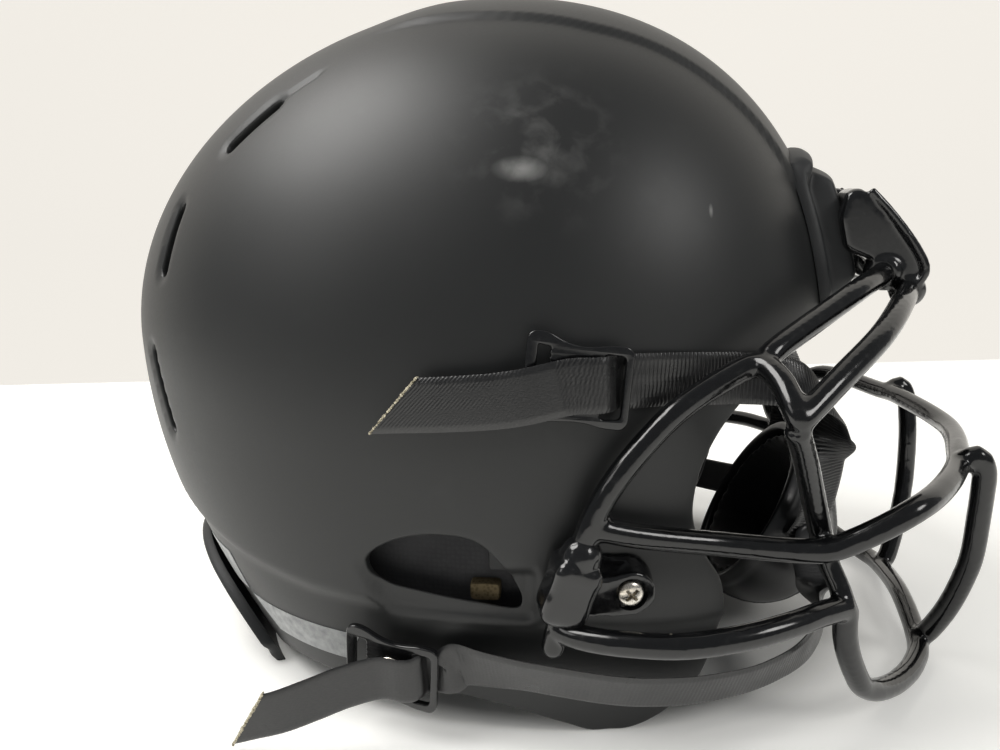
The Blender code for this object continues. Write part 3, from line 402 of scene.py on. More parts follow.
def wire(path, step=2.0, radius=WIRE_RADIUS, round_ends=False, flat=1.0, upward=(0.13, 0.31, 0.94)):
    """A round wire; round_ends gives it half-ball ends."""
    path = smooth(path, step)
    scales = np.ones(len(path))
    if round_ends:
        turn = np.radians([90, 72, 54, 36, 18])
        back = unit(path[0] - path[1])
        front = unit(path[-1] - path[-2])
        start = [path[0] + back * radius * math.sin(a) for a in turn]
        end = [path[-1] + front * radius * math.sin(a) for a in turn[::-1]]
        path = np.vstack([start, path, end])
        ends = np.maximum(np.cos(turn), 0.02)
        scales = np.concatenate([ends, scales, ends[::-1]])
    return sweep(path, ring_section(radius, flat=flat), upward, scales)


def joined(name, parts, angle=None):
    """One object from several (points, faces) pairs."""
    points, faces, start = [], [], 0
    for part_points, part_faces in parts:
        points.append(part_points)
        faces += [[start + i for i in face] for face in part_faces]
        start += len(part_points)
    return make_object(name, np.vstack(points), faces, angle)


def rounded(outline, radius, steps=4, closed=True):
    """A polygon with its corners turned into small curves."""
    corners = np.asarray(outline, float)
    count = len(corners)
    result = []
    for i, corner in enumerate(corners):
        if not closed and i in (0, count - 1):
            result.append(corner)
            continue
        back, ahead = corners[i - 1] - corner, corners[(i + 1) % count] - corner
        cut = min(radius, 0.48 * np.linalg.norm(back), 0.48 * np.linalg.norm(ahead))
        first, last = corner + cut * unit(back), corner + cut * unit(ahead)
        for t in np.linspace(0, 1, steps + 1):
            result.append((1 - t) ** 2 * first + 2 * t * (1 - t) * corner + t * t * last)
    return np.array(result)


def oblong(wide, tall):
    """Corners of a rectangle from its half sizes."""
    return [(-wide, -tall), (wide, -tall), (wide, tall), (-wide, tall)]


def basis_at(normal, upward=(0, 0, 1), spin=0.0):
    """Rows are the axes of a frame whose third axis is the normal and second as upright as it can be."""
    z = unit(normal)
    x = unit(np.cross(upward, z))
    y = np.cross(z, x)
    c, s = math.cos(math.radians(spin)), math.sin(math.radians(spin))
    return np.array([c * x + s * y, c * y - s * x, z])


def placed(part, basis, origin):
    points, faces = part
    return np.asarray(points, float) @ basis + np.asarray(origin, float), faces


def mirrored(part, sign):
    """The same piece for the other side."""
    points, faces = part
    if sign > 0:
        return points, faces
    return np.asarray(points) * (1.0, -1.0, 1.0), [list(f)[::-1] for f in faces]


def lathe(profile, count=36):
    """A turned piece about Z from (radius, height) points; it is a ring if the ends meet."""
    profile = np.asarray(profile, float)
    ring = np.allclose(profile[0], profile[-1])
    profile = profile[:-1] if ring else profile
    turn = np.arange(count) * 2 * math.pi / count
    rows = np.stack([np.outer(profile[:, 0], np.cos(turn)), np.outer(profile[:, 0], np.sin(turn)),
                     np.repeat(profile[:, 1:], count, axis=1)], axis=-1)
    faces = grid_faces(len(profile), count, wrap=True)
    if ring:
        faces += ring_strip((len(profile) - 1) * count, 0, count)
    else:
        faces += end_faces(len(profile), count)
    return rows.reshape(-1, 3), faces


def stacked(outlines, heights):
    """A closed piece from outlines with as many points each, at rising heights along Z."""
    count = len(outlines[0])
    rows = [np.column_stack([o, np.full(count, h)]) for o, h in zip(outlines, heights)]
    return np.vstack(rows), grid_faces(len(rows), count, wrap=True) + end_faces(len(rows), count)


def plate(outlines, thickness, edge, basis, origin):
    """A flat plate with rounded edges; the first outline is its edge and the others are holes."""
    curve = bpy.data.curves.new("plate", "CURVE")
    curve.dimensions = "2D"
    curve.fill_mode = "BOTH"
    curve.extrude = (thickness / 2 - edge) * MM
    curve.bevel_depth = edge * MM
    curve.bevel_resolution = 3
    curve.offset = -edge * MM
    curve.render_resolution_u = 0
    for outline in outlines:
        spline = curve.splines.new("POLY")
        spline.points.add(len(outline) - 1)
        spline.use_cyclic_u = True
        for point, (u, v) in zip(spline.points, outline):
            point.co = (u * MM, v * MM, 0.0, 1.0)
    guide = bpy.data.objects.new("plate", curve)
    bpy.context.scene.collection.objects.link(guide)
    bpy.context.view_layer.update()
    mesh = bpy.data.meshes.new_from_object(guide.evaluated_get(bpy.context.evaluated_depsgraph_get()))
    bpy.data.objects.remove(guide)
    work = bmesh.new()
    work.from_mesh(mesh)
    bmesh.ops.remove_doubles(work, verts=work.verts, dist=0.00001)
    bmesh.ops.recalc_face_normals(work, faces=work.faces)
    points = np.array([v.co for v in work.verts]) / MM
    work.verts.index_update()
    faces = [[v.index for v in f.verts] for f in work.faces]
    work.free()
    return placed((points, faces), basis, origin)


def cut(obj, part):
    """Take a closed part out of an object."""
    cutter = make_object("cutter", *part)
    outward_normals(cutter)
    modifier = obj.modifiers.new("Cut", "BOOLEAN")
    modifier.operation = "DIFFERENCE"
    modifier.object = cutter
    apply_modifiers(obj)
    bpy.data.objects.remove(cutter)


def peg(radius, low, high, count=24):
    """A plain cylinder along Z, to cut a hole with."""
    return lathe([(0.2, low), (radius, low), (radius, high), (0.2, high)], count)


def resharpen(obj, angle):
    """Smooth shading again after a cut, with the edges over the angle left sharp."""
    obj.data.shade_smooth()
    obj.data.set_sharp_from_angle(angle=math.radians(angle))


def edge_round(edge, radius, least):
    """Share of a plate's thickness at a distance from its edge, for a rounded edge."""
    return np.sqrt(np.clip(1 - (1 - np.clip(edge / radius, 0, 1)) ** 2, least, 1))


def outward_normals(obj):
    work = bmesh.new()
    work.from_mesh(obj.data)
    bmesh.ops.recalc_face_normals(work, faces=work.faces)
    work.to_mesh(obj.data)
    work.free()


def subdivide(obj, levels):
    rounder = obj.modifiers.new("Fine", "SUBSURF")
    rounder.levels = rounder.render_levels = levels
    apply_modifiers(obj)


def apply_modifiers(obj):
    """Replace an object's mesh with its modified one."""
    bpy.context.view_layer.update()
    done = obj.evaluated_get(bpy.context.evaluated_depsgraph_get())
    mesh = bpy.data.meshes.new_from_object(done)
    mesh.name = obj.name
    obj.modifiers.clear()
    obj.data = mesh


def fuse(obj, voxel, rounds):
    """Weld overlapping pieces into one skin and soften it, which leaves fillets at the joints."""
    outward_normals(obj)
    remesh = obj.modifiers.new("Weld", "REMESH")
    remesh.mode = "VOXEL"
    remesh.voxel_size = voxel * MM
    remesh.use_smooth_shade = True
    soften = obj.modifiers.new("Soften", "SMOOTH")
    soften.factor = 0.5
    soften.iterations = rounds
    apply_modifiers(obj)
    obj.data.shade_smooth()


def settled(name, part, angle, material, nodes=(), body="helmet"):
    """A finished piece from points and faces."""
    obj = make_object(name, *part, angle)
    outward_normals(obj)
    return settle(obj, material, nodes, body)


def settle(obj, material, nodes=(), body="helmet"):
    """Material, the CAD nodes it stands for, and the body it rides on."""
    obj.data.materials.clear()
    obj.data.materials.append(material)
    if nodes:
        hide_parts(*nodes)
    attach(obj, body)
    return obj


# Materials

class Nodes:
    """A Principled material with helpers for its node tree."""

    def __init__(self, name, colour, roughness, metallic=0.0, **sockets):
        self.material = bpy.data.materials.new(name)
        self.material.use_nodes = True
        self.material.diffuse_color = (*colour, 1.0)
        self.tree = self.material.node_tree
        self.shader = self.tree.nodes["Principled BSDF"]
        self.set("Base Color", (*colour, 1.0))
        self.set("Roughness", roughness)
        self.set("Metallic", metallic)
        for key, value in sockets.items():
            self.set(key.replace("_", " "), value)
        self.place = self.add("ShaderNodeTexCoord").outputs["Object"]

    def set(self, socket, value):
        self.shader.inputs[socket].default_value = value

    def add(self, kind, links=None, **settings):
        node = self.tree.nodes.new(kind)
        for key, value in settings.items():
            setattr(node, key, value)
        for key, value in (links or {}).items():
            if isinstance(value, bpy.types.NodeSocket):
                self.tree.links.new(value, node.inputs[key])
            else:
                node.inputs[key].default_value = value
        return node

    def stretched(self, scale, source=None, turn=(0, 0, 0)):
        node = self.add("ShaderNodeMapping", {"Vector": source or self.place, "Scale": scale,
                                              "Rotation": [math.radians(a) for a in turn]})
        return node.outputs["Vector"]

    def noise(self, scale, detail=3.0, source=None, distortion=0.0):
        node = self.add("ShaderNodeTexNoise", {"Vector": source or self.place, "Scale": scale,
                                               "Detail": detail, "Distortion": distortion})
        return node.outputs["Fac"]

    def span(self, value, low, high, to_low=0.0, to_high=1.0):
        node = self.add("ShaderNodeMapRange", {"Value": value, "From Min": low, "From Max": high,
                                               "To Min": to_low, "To Max": to_high})
        return node.outputs["Result"]

    def sum(self, operation, a, b):
        return self.add("ShaderNodeMath", {0: a, 1: b}, operation=operation).outputs[0]

    def mix(self, share, a, b):
        node = self.add("ShaderNodeMix", data_type="RGBA")
        for socket, value in (("Factor", share), ("A", a), ("B", b)):
            target = [s for s in node.inputs if s.name == socket and s.enabled][0]
            if isinstance(value, bpy.types.NodeSocket):
                self.tree.links.new(value, target)
            else:
                target.default_value = value
        return [s for s in node.outputs if s.enabled][0]

    def link(self, socket, output):
        self.tree.links.new(output, self.shader.inputs[socket])

    def cells(self, scale, randomness=1.0):
        """Distance to the nearest of scattered points."""
        node = self.add("ShaderNodeTexVoronoi", {"Vector": self.place, "Scale": scale,
                                                 "Randomness": randomness})
        return node.outputs["Distance"]

    def tint(self, share, low, high, first, second, most=1.0):
        """Base colour from the first to the second as the share goes from low to high."""
        self.link("Base Color", self.mix(self.span(share, low, high, 0.0, most), (*first, 1), (*second, 1)))

    def rough(self, share, low, high, first, second):
        """Roughness from the first to the second as the share goes from low to high."""
        self.link("Roughness", self.span(share, low, high, first, second))

    def bump(self, height, strength, distance):
        """Add a layer of bump, given in millimetres."""
        links = {"Height": height, "Strength": strength, "Distance": distance * MM}
        if self.shader.inputs["Normal"].is_linked:
            links["Normal"] = self.shader.inputs["Normal"].links[0].from_socket
        self.link("Normal", self.add("ShaderNodeBump", links).outputs["Normal"])

    def near(self, point, reach, stretch=(1, 1, 1)):
        """1 at a point and 0 beyond a reach, both in layout millimetres."""
        offset = self.add("ShaderNodeVectorMath", {0: self.place, 1: place(*point)},
                          operation="SUBTRACT").outputs[0]
        scaled = self.add("ShaderNodeVectorMath", {0: offset, 1: stretch}, operation="MULTIPLY")
        length = self.add("ShaderNodeVectorMath", {0: scaled.outputs[0]}, operation="LENGTH")
        return self.span(length.outputs["Value"], reach * MM, 0.0)


def shell_paint():
    """Matte black paint: soft blotches, fine orange peel, a few specks, and one scuff."""
    look = Nodes("shell_paint", (0.013, 0.0137, 0.0139), 0.45, Specular_IOR_Level=0.5)
    cloud = look.noise(9.0, 4.0)
    grain = look.noise(900.0, 2.0)
    dust = look.noise(70.0, 6.0)
    colour = look.mix(look.span(cloud, 0.3, 0.7), (0.011, 0.0117, 0.0119, 1), (0.0145, 0.0153, 0.0155, 1))
    colour = look.mix(look.span(dust, 0.62, 0.8, 0.0, 0.3), colour, (0.03, 0.031, 0.031, 1))
    rough = look.span(look.sum("ADD", cloud, look.sum("MULTIPLY", grain, 0.4)), 0.35, 1.0, 0.40, 0.50)
    speck = look.cells(55.0)
    sparse = look.span(look.noise(23.0, 1.0), 0.60, 0.63)
    specks = look.sum("MULTIPLY", look.span(speck, 0.030, 0.018), sparse)
    streaks = look.noise(120.0, 4.0, distortion=0.3)
    smudge = look.sum("MULTIPLY", look.near((41.0, -89.9, 179.0), 5.5, (0.62, 1, 1.25)),
                      look.span(streaks, 0.25, 0.60, 0.25, 0.85))
    veil = look.sum("MULTIPLY", look.near((46, -84, 187), 30.0, (1.0, 1, 0.9)),
                    look.span(streaks, 0.48, 0.75, 0.0, 0.28))
    scratch = look.near((96.6, -72.4, 165.5), 1.5, (2.0, 1, 0.45))
    white = look.sum("ADD", look.sum("ADD", smudge, veil), scratch)
    white = look.sum("MINIMUM", look.sum("ADD", white, specks), 1.0)
    colour = look.mix(look.sum("MULTIPLY", white, 0.62), colour, (0.40, 0.40, 0.39, 1))
    look.link("Base Color", colour)
    look.link("Roughness", look.sum("ADD", rough, look.sum("MULTIPLY", white, 0.12)))
    look.bump(grain, 0.25, 0.03)
    look.bump(look.noise(210.0, 3.0), 0.20, 0.05)
    return look.material


def mask_coating():
    """Glossy black dip coating, slightly uneven, with a few pinholes and dust."""
    look = Nodes("mask_coating", (0.0034, 0.0036, 0.004), 0.16, Specular_IOR_Level=0.5,
                 Coat_Weight=0.2, Coat_Roughness=0.05)
    flow = look.noise(95.0, 2.0)
    dust = look.noise(420.0, 4.0)
    pits = look.cells(120.0)
    holes = look.sum("MULTIPLY", look.span(pits, 0.075, 0.05), look.span(look.noise(31.0, 1.0), 0.56, 0.6))
    colour = look.mix(look.span(dust, 0.6, 0.85, 0.0, 0.5), (0.0034, 0.0036, 0.004, 1), (0.02, 0.02, 0.02, 1))
    look.link("Base Color", look.mix(look.sum("MULTIPLY", holes, 0.5), colour, (0.30, 0.28, 0.22, 1)))
    look.link("Roughness", look.span(dust, 0.4, 0.8, 0.13, 0.26))
    look.bump(flow, 0.35, 0.25)
    look.bump(holes, 0.4, 0.08)
    return look.material


def gloss_plastic():
    """Glossy black moulding of the clips and buckles."""
    look = Nodes("gloss_plastic", (0.006, 0.0062, 0.0068), 0.14, Specular_IOR_Level=0.5, Coat_Weight=0.3,
                 Coat_Roughness=0.06)
    dust = look.noise(520.0, 5.0)
    look.tint(dust, 0.62, 0.85, (0.006, 0.0062, 0.0068), (0.03, 0.03, 0.03), 0.6)
    look.rough(dust, 0.35, 0.8, 0.10, 0.30)
    look.bump(look.noise(140.0, 3.0), 0.3, 0.12)
    look.bump(dust, 0.10, 0.02)
    return look.material


def bumper_rubber():
    """Soft matte moulding of the bumpers."""
    look = Nodes("bumper_rubber", (0.022, 0.023, 0.024), 0.55, Specular_IOR_Level=0.4)
    cloud = look.noise(40.0, 4.0)
    look.tint(cloud, 0.3, 0.7, (0.018, 0.019, 0.02), (0.028, 0.029, 0.03))
    look.rough(cloud, 0.3, 0.75, 0.46, 0.62)
    look.bump(look.noise(1400.0, 2.0), 0.25, 0.04)
    return look.material


def webbing_weave():
    """Black woven strap: fine cross threads with a dull sheen."""
    look = Nodes("webbing_weave", (0.008, 0.0082, 0.0086), 0.32, Specular_IOR_Level=0.7, Sheen_Weight=0.10,
                 Sheen_Roughness=0.35)
    thread = look.noise(900.0, 2.0, look.stretched((1.0, 1.0, 3.2)))
    look.tint(thread, 0.35, 0.7, (0.0055, 0.0056, 0.006), (0.013, 0.013, 0.0135))
    look.rough(look.noise(120.0, 4.0), 0.3, 0.7, 0.27, 0.40)
    look.bump(thread, 0.5, 0.08)
    return look.material


def webbing_cut():
    """Pale melted fibres at a cut end."""
    look = Nodes("webbing_cut", (0.55, 0.50, 0.36), 0.6, Specular_IOR_Level=0.3)
    speckle = look.noise(1600.0)
    look.tint(speckle, 0.35, 0.62, (0.16, 0.14, 0.09), (0.72, 0.66, 0.50))
    look.bump(speckle, 0.6, 0.15)
    return look.material


def nickel_plate():
    """Nickel-plated steel with fine scratches and a warm tarnish."""
    look = Nodes("nickel_plate", (0.66, 0.61, 0.53), 0.24, 1.0)
    scratch = look.noise(1500.0, 2.0, look.stretched((0.3, 2.0, 1.0), turn=(20, 30, 0)))
    look.tint(look.noise(120.0), 0.45, 0.85, (0.80, 0.76, 0.69), (0.55, 0.48, 0.38))
    look.rough(scratch, 0.3, 0.7, 0.16, 0.38)
    look.bump(scratch, 0.2, 0.02)
    return look.material


def pad_cover():
    """Dark knitted cover of the liner pads."""
    look = Nodes("pad_cover", (0.024, 0.024, 0.026), 0.72, Specular_IOR_Level=0.35, Sheen_Weight=0.35,
                 Sheen_Roughness=0.5)
    knit = look.cells(620.0, 0.35)
    look.tint(look.noise(45.0, 4.0), 0.3, 0.7, (0.017, 0.017, 0.019), (0.034, 0.034, 0.036))
    look.rough(knit, 0.0, 0.6, 0.62, 0.82)
    look.bump(knit, 0.5, 0.18)
    return look.material


def bare_foam():
    """Tan open-cell foam."""
    look = Nodes("bare_foam", (0.12, 0.09, 0.05), 0.85, Specular_IOR_Level=0.2)
    cells = look.cells(900.0)
    look.tint(cells, 0.1, 0.6, (0.07, 0.052, 0.026), (0.13, 0.10, 0.055))
    look.bump(cells, 0.4, 0.12)
    return look.material


def cup_plastic():
    """Hard matte black moulding of the chin cup."""
    look = Nodes("cup_plastic", (0.016, 0.0165, 0.0175), 0.34, Specular_IOR_Level=0.5)
    cloud = look.noise(60.0, 4.0)
    look.tint(cloud, 0.35, 0.7, (0.013, 0.0135, 0.0145), (0.022, 0.0225, 0.0235))
    look.rough(cloud, 0.3, 0.7, 0.28, 0.42)
    look.bump(look.noise(1300.0, 2.0), 0.2, 0.03)
    return look.material


def label_paper():
    """Blank grey label film, worn in patches."""
    look = Nodes("label_paper", (0.34, 0.35, 0.35), 0.4, Specular_IOR_Level=0.4)
    wear = look.noise(330.0, 5.0)
    look.tint(wear, 0.3, 0.75, (0.40, 0.41, 0.41), (0.22, 0.225, 0.23))
    look.rough(wear, 0.3, 0.7, 0.32, 0.5)
    look.bump(wear, 0.1, 0.03)
    return look.material


# Pieces

def polygon_level(u, v, outline):
    """Signed distance to a closed outline, positive outside it."""
    a = np.asarray(outline, float)
    b = np.roll(a, -1, axis=0)
    best = np.full(u.shape, 1e9)
    inside = np.zeros(u.shape, bool)
    for (au, av), (bu, bv) in zip(a, b):
        du, dv = bu - au, bv - av
        t = np.clip(((u - au) * du + (v - av) * dv) / (du * du + dv * dv + 1e-12), 0, 1)
        best = np.minimum(best, np.hypot(u - au - t * du, v - av - t * dv))
        crosses = (av > v) != (bv > v)
        with np.errstate(divide="ignore", invalid="ignore"):
            at = au + (v - av) * du / (dv if dv else 1e-12)
        inside ^= crosses & (u < at)
    return np.where(inside, -best, best)


def slot_frames():
    """Centre, half length, half width and axes of each vent slot, on both sides."""
    frames = []
    for sign in SIDES.values():
        for start, end, width in VENT_SLOTS:
            a, b = flipped([start, end], sign)
            middle = 0.5 * (a + b)
            along = unit(b - a)
            frames.append((middle, along, shell_normal(middle), 0.5 * np.linalg.norm(b - a), width / 2))
    return frames


def slot_level(points, slot):
    """Signed distance to a round-ended slot, positive outside it."""
    middle, along, normal, half, radius = slot
    offset = points - middle
    run = offset @ along
    aside = offset @ unit(np.cross(normal, along))
    depth = offset @ normal
    level = np.hypot(np.maximum(np.abs(run) - (half - radius), 0.0), aside) - radius
    return np.where(np.abs(depth) < 25.0, level, 50.0)


def shell_level(points):
    """Positive where there is shell, negative in its openings and below its rim."""
    x, y, z = points[..., 0], points[..., 1], points[..., 2]
    level = polygon_level(x, z, RIM_OUTLINE)
    ear = polygon_level(x, z, EAR_OUTLINE)
    level = np.minimum(level, np.where(np.abs(y) > 60, ear, 50.0))
    for slot in SLOTS:
        level = np.minimum(level, slot_level(points, slot))
    return level


def shell_relief(points):
    """How far the moulded details stand out of the plain shell surface."""
    x, y, z = points[..., 0], points[..., 1], points[..., 2]
    wide = np.abs(y)
    edge = np.interp(x, [p[0] for p in BAND_EDGE], [p[1] for p in BAND_EDGE])
    upper = smoothstep(150, 175, z)
    ahead = smoothstep(-30, 5, x)
    band = 1.5 * smoothstep(edge + 1.1, edge - 1.1, wide) * upper * ahead
    crease = np.interp(x, [p[0] for p in CREASE], [p[1] for p in CREASE])
    rear_side = smoothstep(20, 60, wide)
    below = 2.2 * smoothstep(crease + 3.5, crease - 3.5, z) * rear_side
    left = np.interp(z, [44, 61], [-2.5, -8.5])
    scoop = (3.2 * smoothstep(left - 2.0, left + 2.5, x) * smoothstep(48.5, 45.5, x)
             * smoothstep(61.5, 57.0, z) * smoothstep(38.0, 44.5, z) * (wide > 60))
    groove = 0.0
    for sign in SIDES.values():
        start, end = flipped([(-45.5, -63, 206), (-30.5, -59.6, 215)], sign)
        along = unit(end - start)
        run = (points - start) @ along
        aside = np.linalg.norm(points - start - run[..., None] * along, axis=-1)
        length = np.linalg.norm(end - start)
        groove = groove + (1.1 * smoothstep(1.6, 0.4, aside) * smoothstep(-6, 0, run)
                           * smoothstep(length, length - 6, run))
    dish = 0.0
    for slot in SLOTS:
        dish = dish + 1.0 * smoothstep(3.0, 0.0, slot_level(points, slot))
    return band - np.maximum(below, scoop) - groove - dish


def trimmed(points, faces, level):
    """Drop the faces where the level is negative, after moving the points next to the cut on to it."""
    points, level = points.copy(), level.copy()
    ends = np.array([(f[i], f[(i + 1) % len(f)]) for f in faces for i in range(len(f))])
    a, b = level[ends[:, 0]], level[ends[:, 1]]
    crossing = (a > 0) != (b > 0)
    ends, a, b = ends[crossing], a[crossing], b[crossing]
    moves = {}
    for (i, j), t in zip(ends, a / (a - b)):
        for v, other, share in ((i, j, t), (j, i, 1 - t)):
            if share <= 0.5 + 1e-9 and (v not in moves or share < moves[v][0]):
                moves[v] = (share, points[v] + share * (points[other] - points[v]))
    for v, (_, target) in moves.items():
        points[v] = target
        level[v] = 0.0
    kept = []
    for face in faces:
        values = [level[i] for i in face]
        face = [i for i, value in zip(face, values) if value >= 0]
        if len(face) >= 3 and max(values) > 0:
            kept.append(face)
    used = np.unique(np.concatenate([np.array(f) for f in kept]))
    index = np.full(len(points), -1)
    index[used] = np.arange(len(used))
    return points[used], [[int(index[i]) for i in f] for f in kept]


def thickened(points, faces, normals, relief, level_of, thickness, profile):
    """A closed wall from an outer surface, with its cut edges rounded to a profile of (out, depth)."""
    outer = points + relief[:, None] * normals
    inner = points - thickness * normals
    count = len(outer)
    all_points = [outer, inner]
    all_faces = faces + [[count + i for i in f][::-1] for f in faces]
    used = {(f[i], f[(i + 1) % len(f)]) for f in faces for i in range(len(f))}
    edges = sorted(e for e in used if (e[1], e[0]) not in used)
    rim = sorted({i for e in edges for i in e})
    where = {v: k for k, v in enumerate(rim)}
    base, normal = points[rim], normals[rim]
    nudge = 0.6 * np.eye(3)
    slope = np.stack([level_of(base + s) - level_of(base - s) for s in nudge], axis=-1)
    away = -unit(slope - np.sum(slope * normal, axis=1)[:, None] * normal)
    rings = [rim]
    start = 2 * count
    for out, depth in profile[1:-1]:
        fade = (1.0 - depth / thickness) * relief[rim][:, None]
        all_points.append(base + out * away - depth * normal + fade * normal)
        rings.append([start + k for k in range(len(rim))])
        start += len(rim)
    rings.append([count + v for v in rim])
    for first, second in zip(rings, rings[1:]):
        for i, j in edges:
            all_faces.append([first[where[j]], first[where[i]], second[where[i]], second[where[j]]])
    return np.vstack(all_points), all_faces


def build_shell():
    turn = np.arange(SHELL_COLUMNS) * 360.0 / SHELL_COLUMNS
    drop = (np.arange(1, SHELL_RINGS + 1) / SHELL_RINGS) * (90.0 - LOWEST_ELEVATION)
    angles, elevations = np.meshgrid(turn, 90.0 - drop)
    points = to_shell(EYE, towards(angles, elevations)).reshape(-1, 3)
    points = np.vstack([points, [[CENTRE_X, 0.0, TOP]]])
    crown = len(points) - 1
    faces = grid_faces(SHELL_RINGS, SHELL_COLUMNS, wrap=True, flip=True)
    faces += [[crown, k, (k + 1) % SHELL_COLUMNS] for k in range(SHELL_COLUMNS)]
    points, faces = trimmed(points, faces, shell_level(points) - RIM_ROUND)
    points, faces = thickened(points, faces, shell_normal(points), shell_relief(points), shell_level,
                              SHELL_THICKNESS, RIM_PROFILE)
    shell = make_object("helmet_shell", points, faces, 50)
    settle(shell, SHELL_PAINT, ["shell"])


def build_mask():
    """The whole welded mask as one coated skin."""
    parts = [wire(across(BROW_BAR_LOWER)), wire(across(MAIN_BAR)), wire(across(CHIN_LOOP)),
             wire(across(BROW_BAR_UPPER))]
    nodes = ["mask_brow_bar_upper", "mask_brow_bar_lower", "mask_main_bar", "mask_chin_loop"]
    for side, sign in SIDES.items():
        parts.append(wire(flipped(SIDE_BAR, sign), round_ends=True))
        parts.append(wire(flipped(STRUT, sign), flat=0.86))
        parts.append(wire(flipped(LOWER_SIDE_BAR, sign)))
        parts.append(wire(flipped(CHIN_VERTICAL, sign)))
        for name in ("side_bar", "strut", "lower_side_bar", "chin_vertical"):
            nodes.append("mask_%s_%s" % (name, side))
    mask = joined("facemask", parts)
    fuse(mask, 0.9, 5)
    settle(mask, MASK_COATING, nodes)


def screw_part(length):
    """Pan-head screw from the underside of its head: the head above, the shank below."""
    radius, height = SCREW_HEAD
    shank = SCREW_SHANK_RADIUS
    profile = [(0.3, height), (radius * 0.45, height - 0.06), (radius * 0.75, height - 0.35),
               (radius * 0.93, height - 0.8), (radius, height - 1.3), (radius, 0.25), (radius - 0.25, 0.0),
               (shank + 0.3, 0.0), (shank, -0.4)]
    depth = 0.4
    while depth < length - 1.2:
        depth += 0.45
        profile.append((shank - 0.35, -depth))
        depth += 0.45
        profile.append((shank, -depth))
    profile += [(shank - 0.4, -length), (0.3, -length)]
    return lathe(profile[::-1], 32)


def build_screw(name, place_at, axis, length, turn=25.0):
    """A cross-recess screw, its head's underside at the place."""
    screw = make_object(name, *screw_part(length), 40)
    outward_normals(screw)
    height = SCREW_HEAD[1]
    for spin in (0.0, 90.0):
        wide, narrow = 2.4, 0.5
        slot = rounded(oblong(wide, narrow), 0.35, 2)
        cutter = stacked([slot * (0.45, 0.6), slot, slot * (1.05, 1.15)],
                         [height - 2.3, height - 0.3, height + 1])
        cut(screw, placed(cutter, basis_at((0, 0, 1), (0, 1, 0), spin), (0, 0, 0)))
    frame_axes = basis_at(axis, (0.1, 0.0, 1.0), turn)
    move = Matrix(frame_axes.T.tolist()).to_4x4()
    shift = Matrix.Translation(-place(0, 0, 0))
    screw.data.transform(Matrix.Translation(place(*place_at)) @ move @ shift)
    resharpen(screw, 38)
    return settle(screw, NICKEL, [name])


def build_t_nut(name, place_at, axis):
    """Flanged nut whose flange lies at the place, inside the shell."""
    bore = SCREW_SHANK_RADIUS + 0.3
    profile = [(bore, 0.0), (6.6, 0.0), (7.0, -0.3), (7.0, -1.2), (6.6, -1.5), (4.4, -1.5), (4.0, -1.9),
               (4.0, -4.7), (3.7, -5.0), (bore, -5.0), (bore, 0.0)]
    nut = placed(lathe(profile, 32), basis_at(axis, (0.1, 0, 1)), place_at)
    return settled(name, nut, 40, NICKEL, [name])


def side_screw_place():
    at = on_side(*SIDE_CLIP_SCREW)
    return at, shell_normal(at)


def build_side_clips():
    """Side clips: a faceted sleeve round the side bar, and a lug with a screw pocket."""
    at, normal = side_screw_place()
    basis = basis_at(normal)
    turn = np.radians(np.linspace(-90, 90, 25))
    arc = np.stack([np.cos(turn), np.sin(turn)], axis=1)
    front = np.vstack([[(-17, -6.0), (-8, -6.6)], arc * (7.6, 6.9), [(-7, 5.4), (-15, 5.8)]])
    back = np.vstack([[(-17.5, -6.6), (-8, -7.2)], arc * (8.4, 8.6) + (0, 1.2), [(-7, 10.6), (-16, 9.5)]])
    heights = [0.6, 3.0, 5.6, 7.2, 7.9]
    shares = [0.0, 0.35, 0.8, 0.97, 1.12]
    outlines = [back + (front - back) * t for t in shares]
    for side, sign in SIDES.items():
        low, high = np.array(SLEEVE_ENDS)
        run = np.linspace(0, 1, 15)[:, None]
        path = low + (high - low) * run
        section = rounded([(-7.2, -5.2), (-5.2, -7.0), (5.2, -7.0), (7.2, -5.2), (7.2, 5.2), (5.2, 7.0),
                           (-5.2, 7.0), (-7.2, 5.2)], 1.0, 2)
        scales = [0.72, 0.9, 0.97, 1, 1, 1, 0.985, 0.975, 0.975, 0.985, 1, 1.03, 1.0, 0.93, 0.72]
        sleeve = sweep(path, section, -normal, scales)
        lug = placed(stacked(outlines, heights), basis, at)
        collar = wire([low + (high - low) * 0.84, high + (high - low) * 0.03], 1.0, 6.4, True)
        parts = [mirrored(p, sign) for p in (sleeve, lug, collar)]
        clip = joined("side_clip_" + side, parts)
        fuse(clip, 0.62, 4)
        pocket = lathe([(0.2, 6.4), (4.75, 6.4), (5.2, 8.0), (5.6, 12), (0.2, 12)], 40)
        cut(clip, mirrored(placed(pocket, basis, at), sign))
        cut(clip, mirrored(placed(peg(SCREW_HOLE_RADIUS, -4, 9), basis, at), sign))
        resharpen(clip, 50)
        settle(clip, GLOSS_PLASTIC, ["side_clip_" + side])
        flip = (1.0, sign, 1.0)
        build_screw("side_clip_screw_" + side, (at + 6.4 * normal) * flip, normal * flip, 15.5, 48.0)
        build_t_nut("side_t_nut_" + side, (at - (SHELL_THICKNESS + 1.2) * normal) * flip, normal * flip)


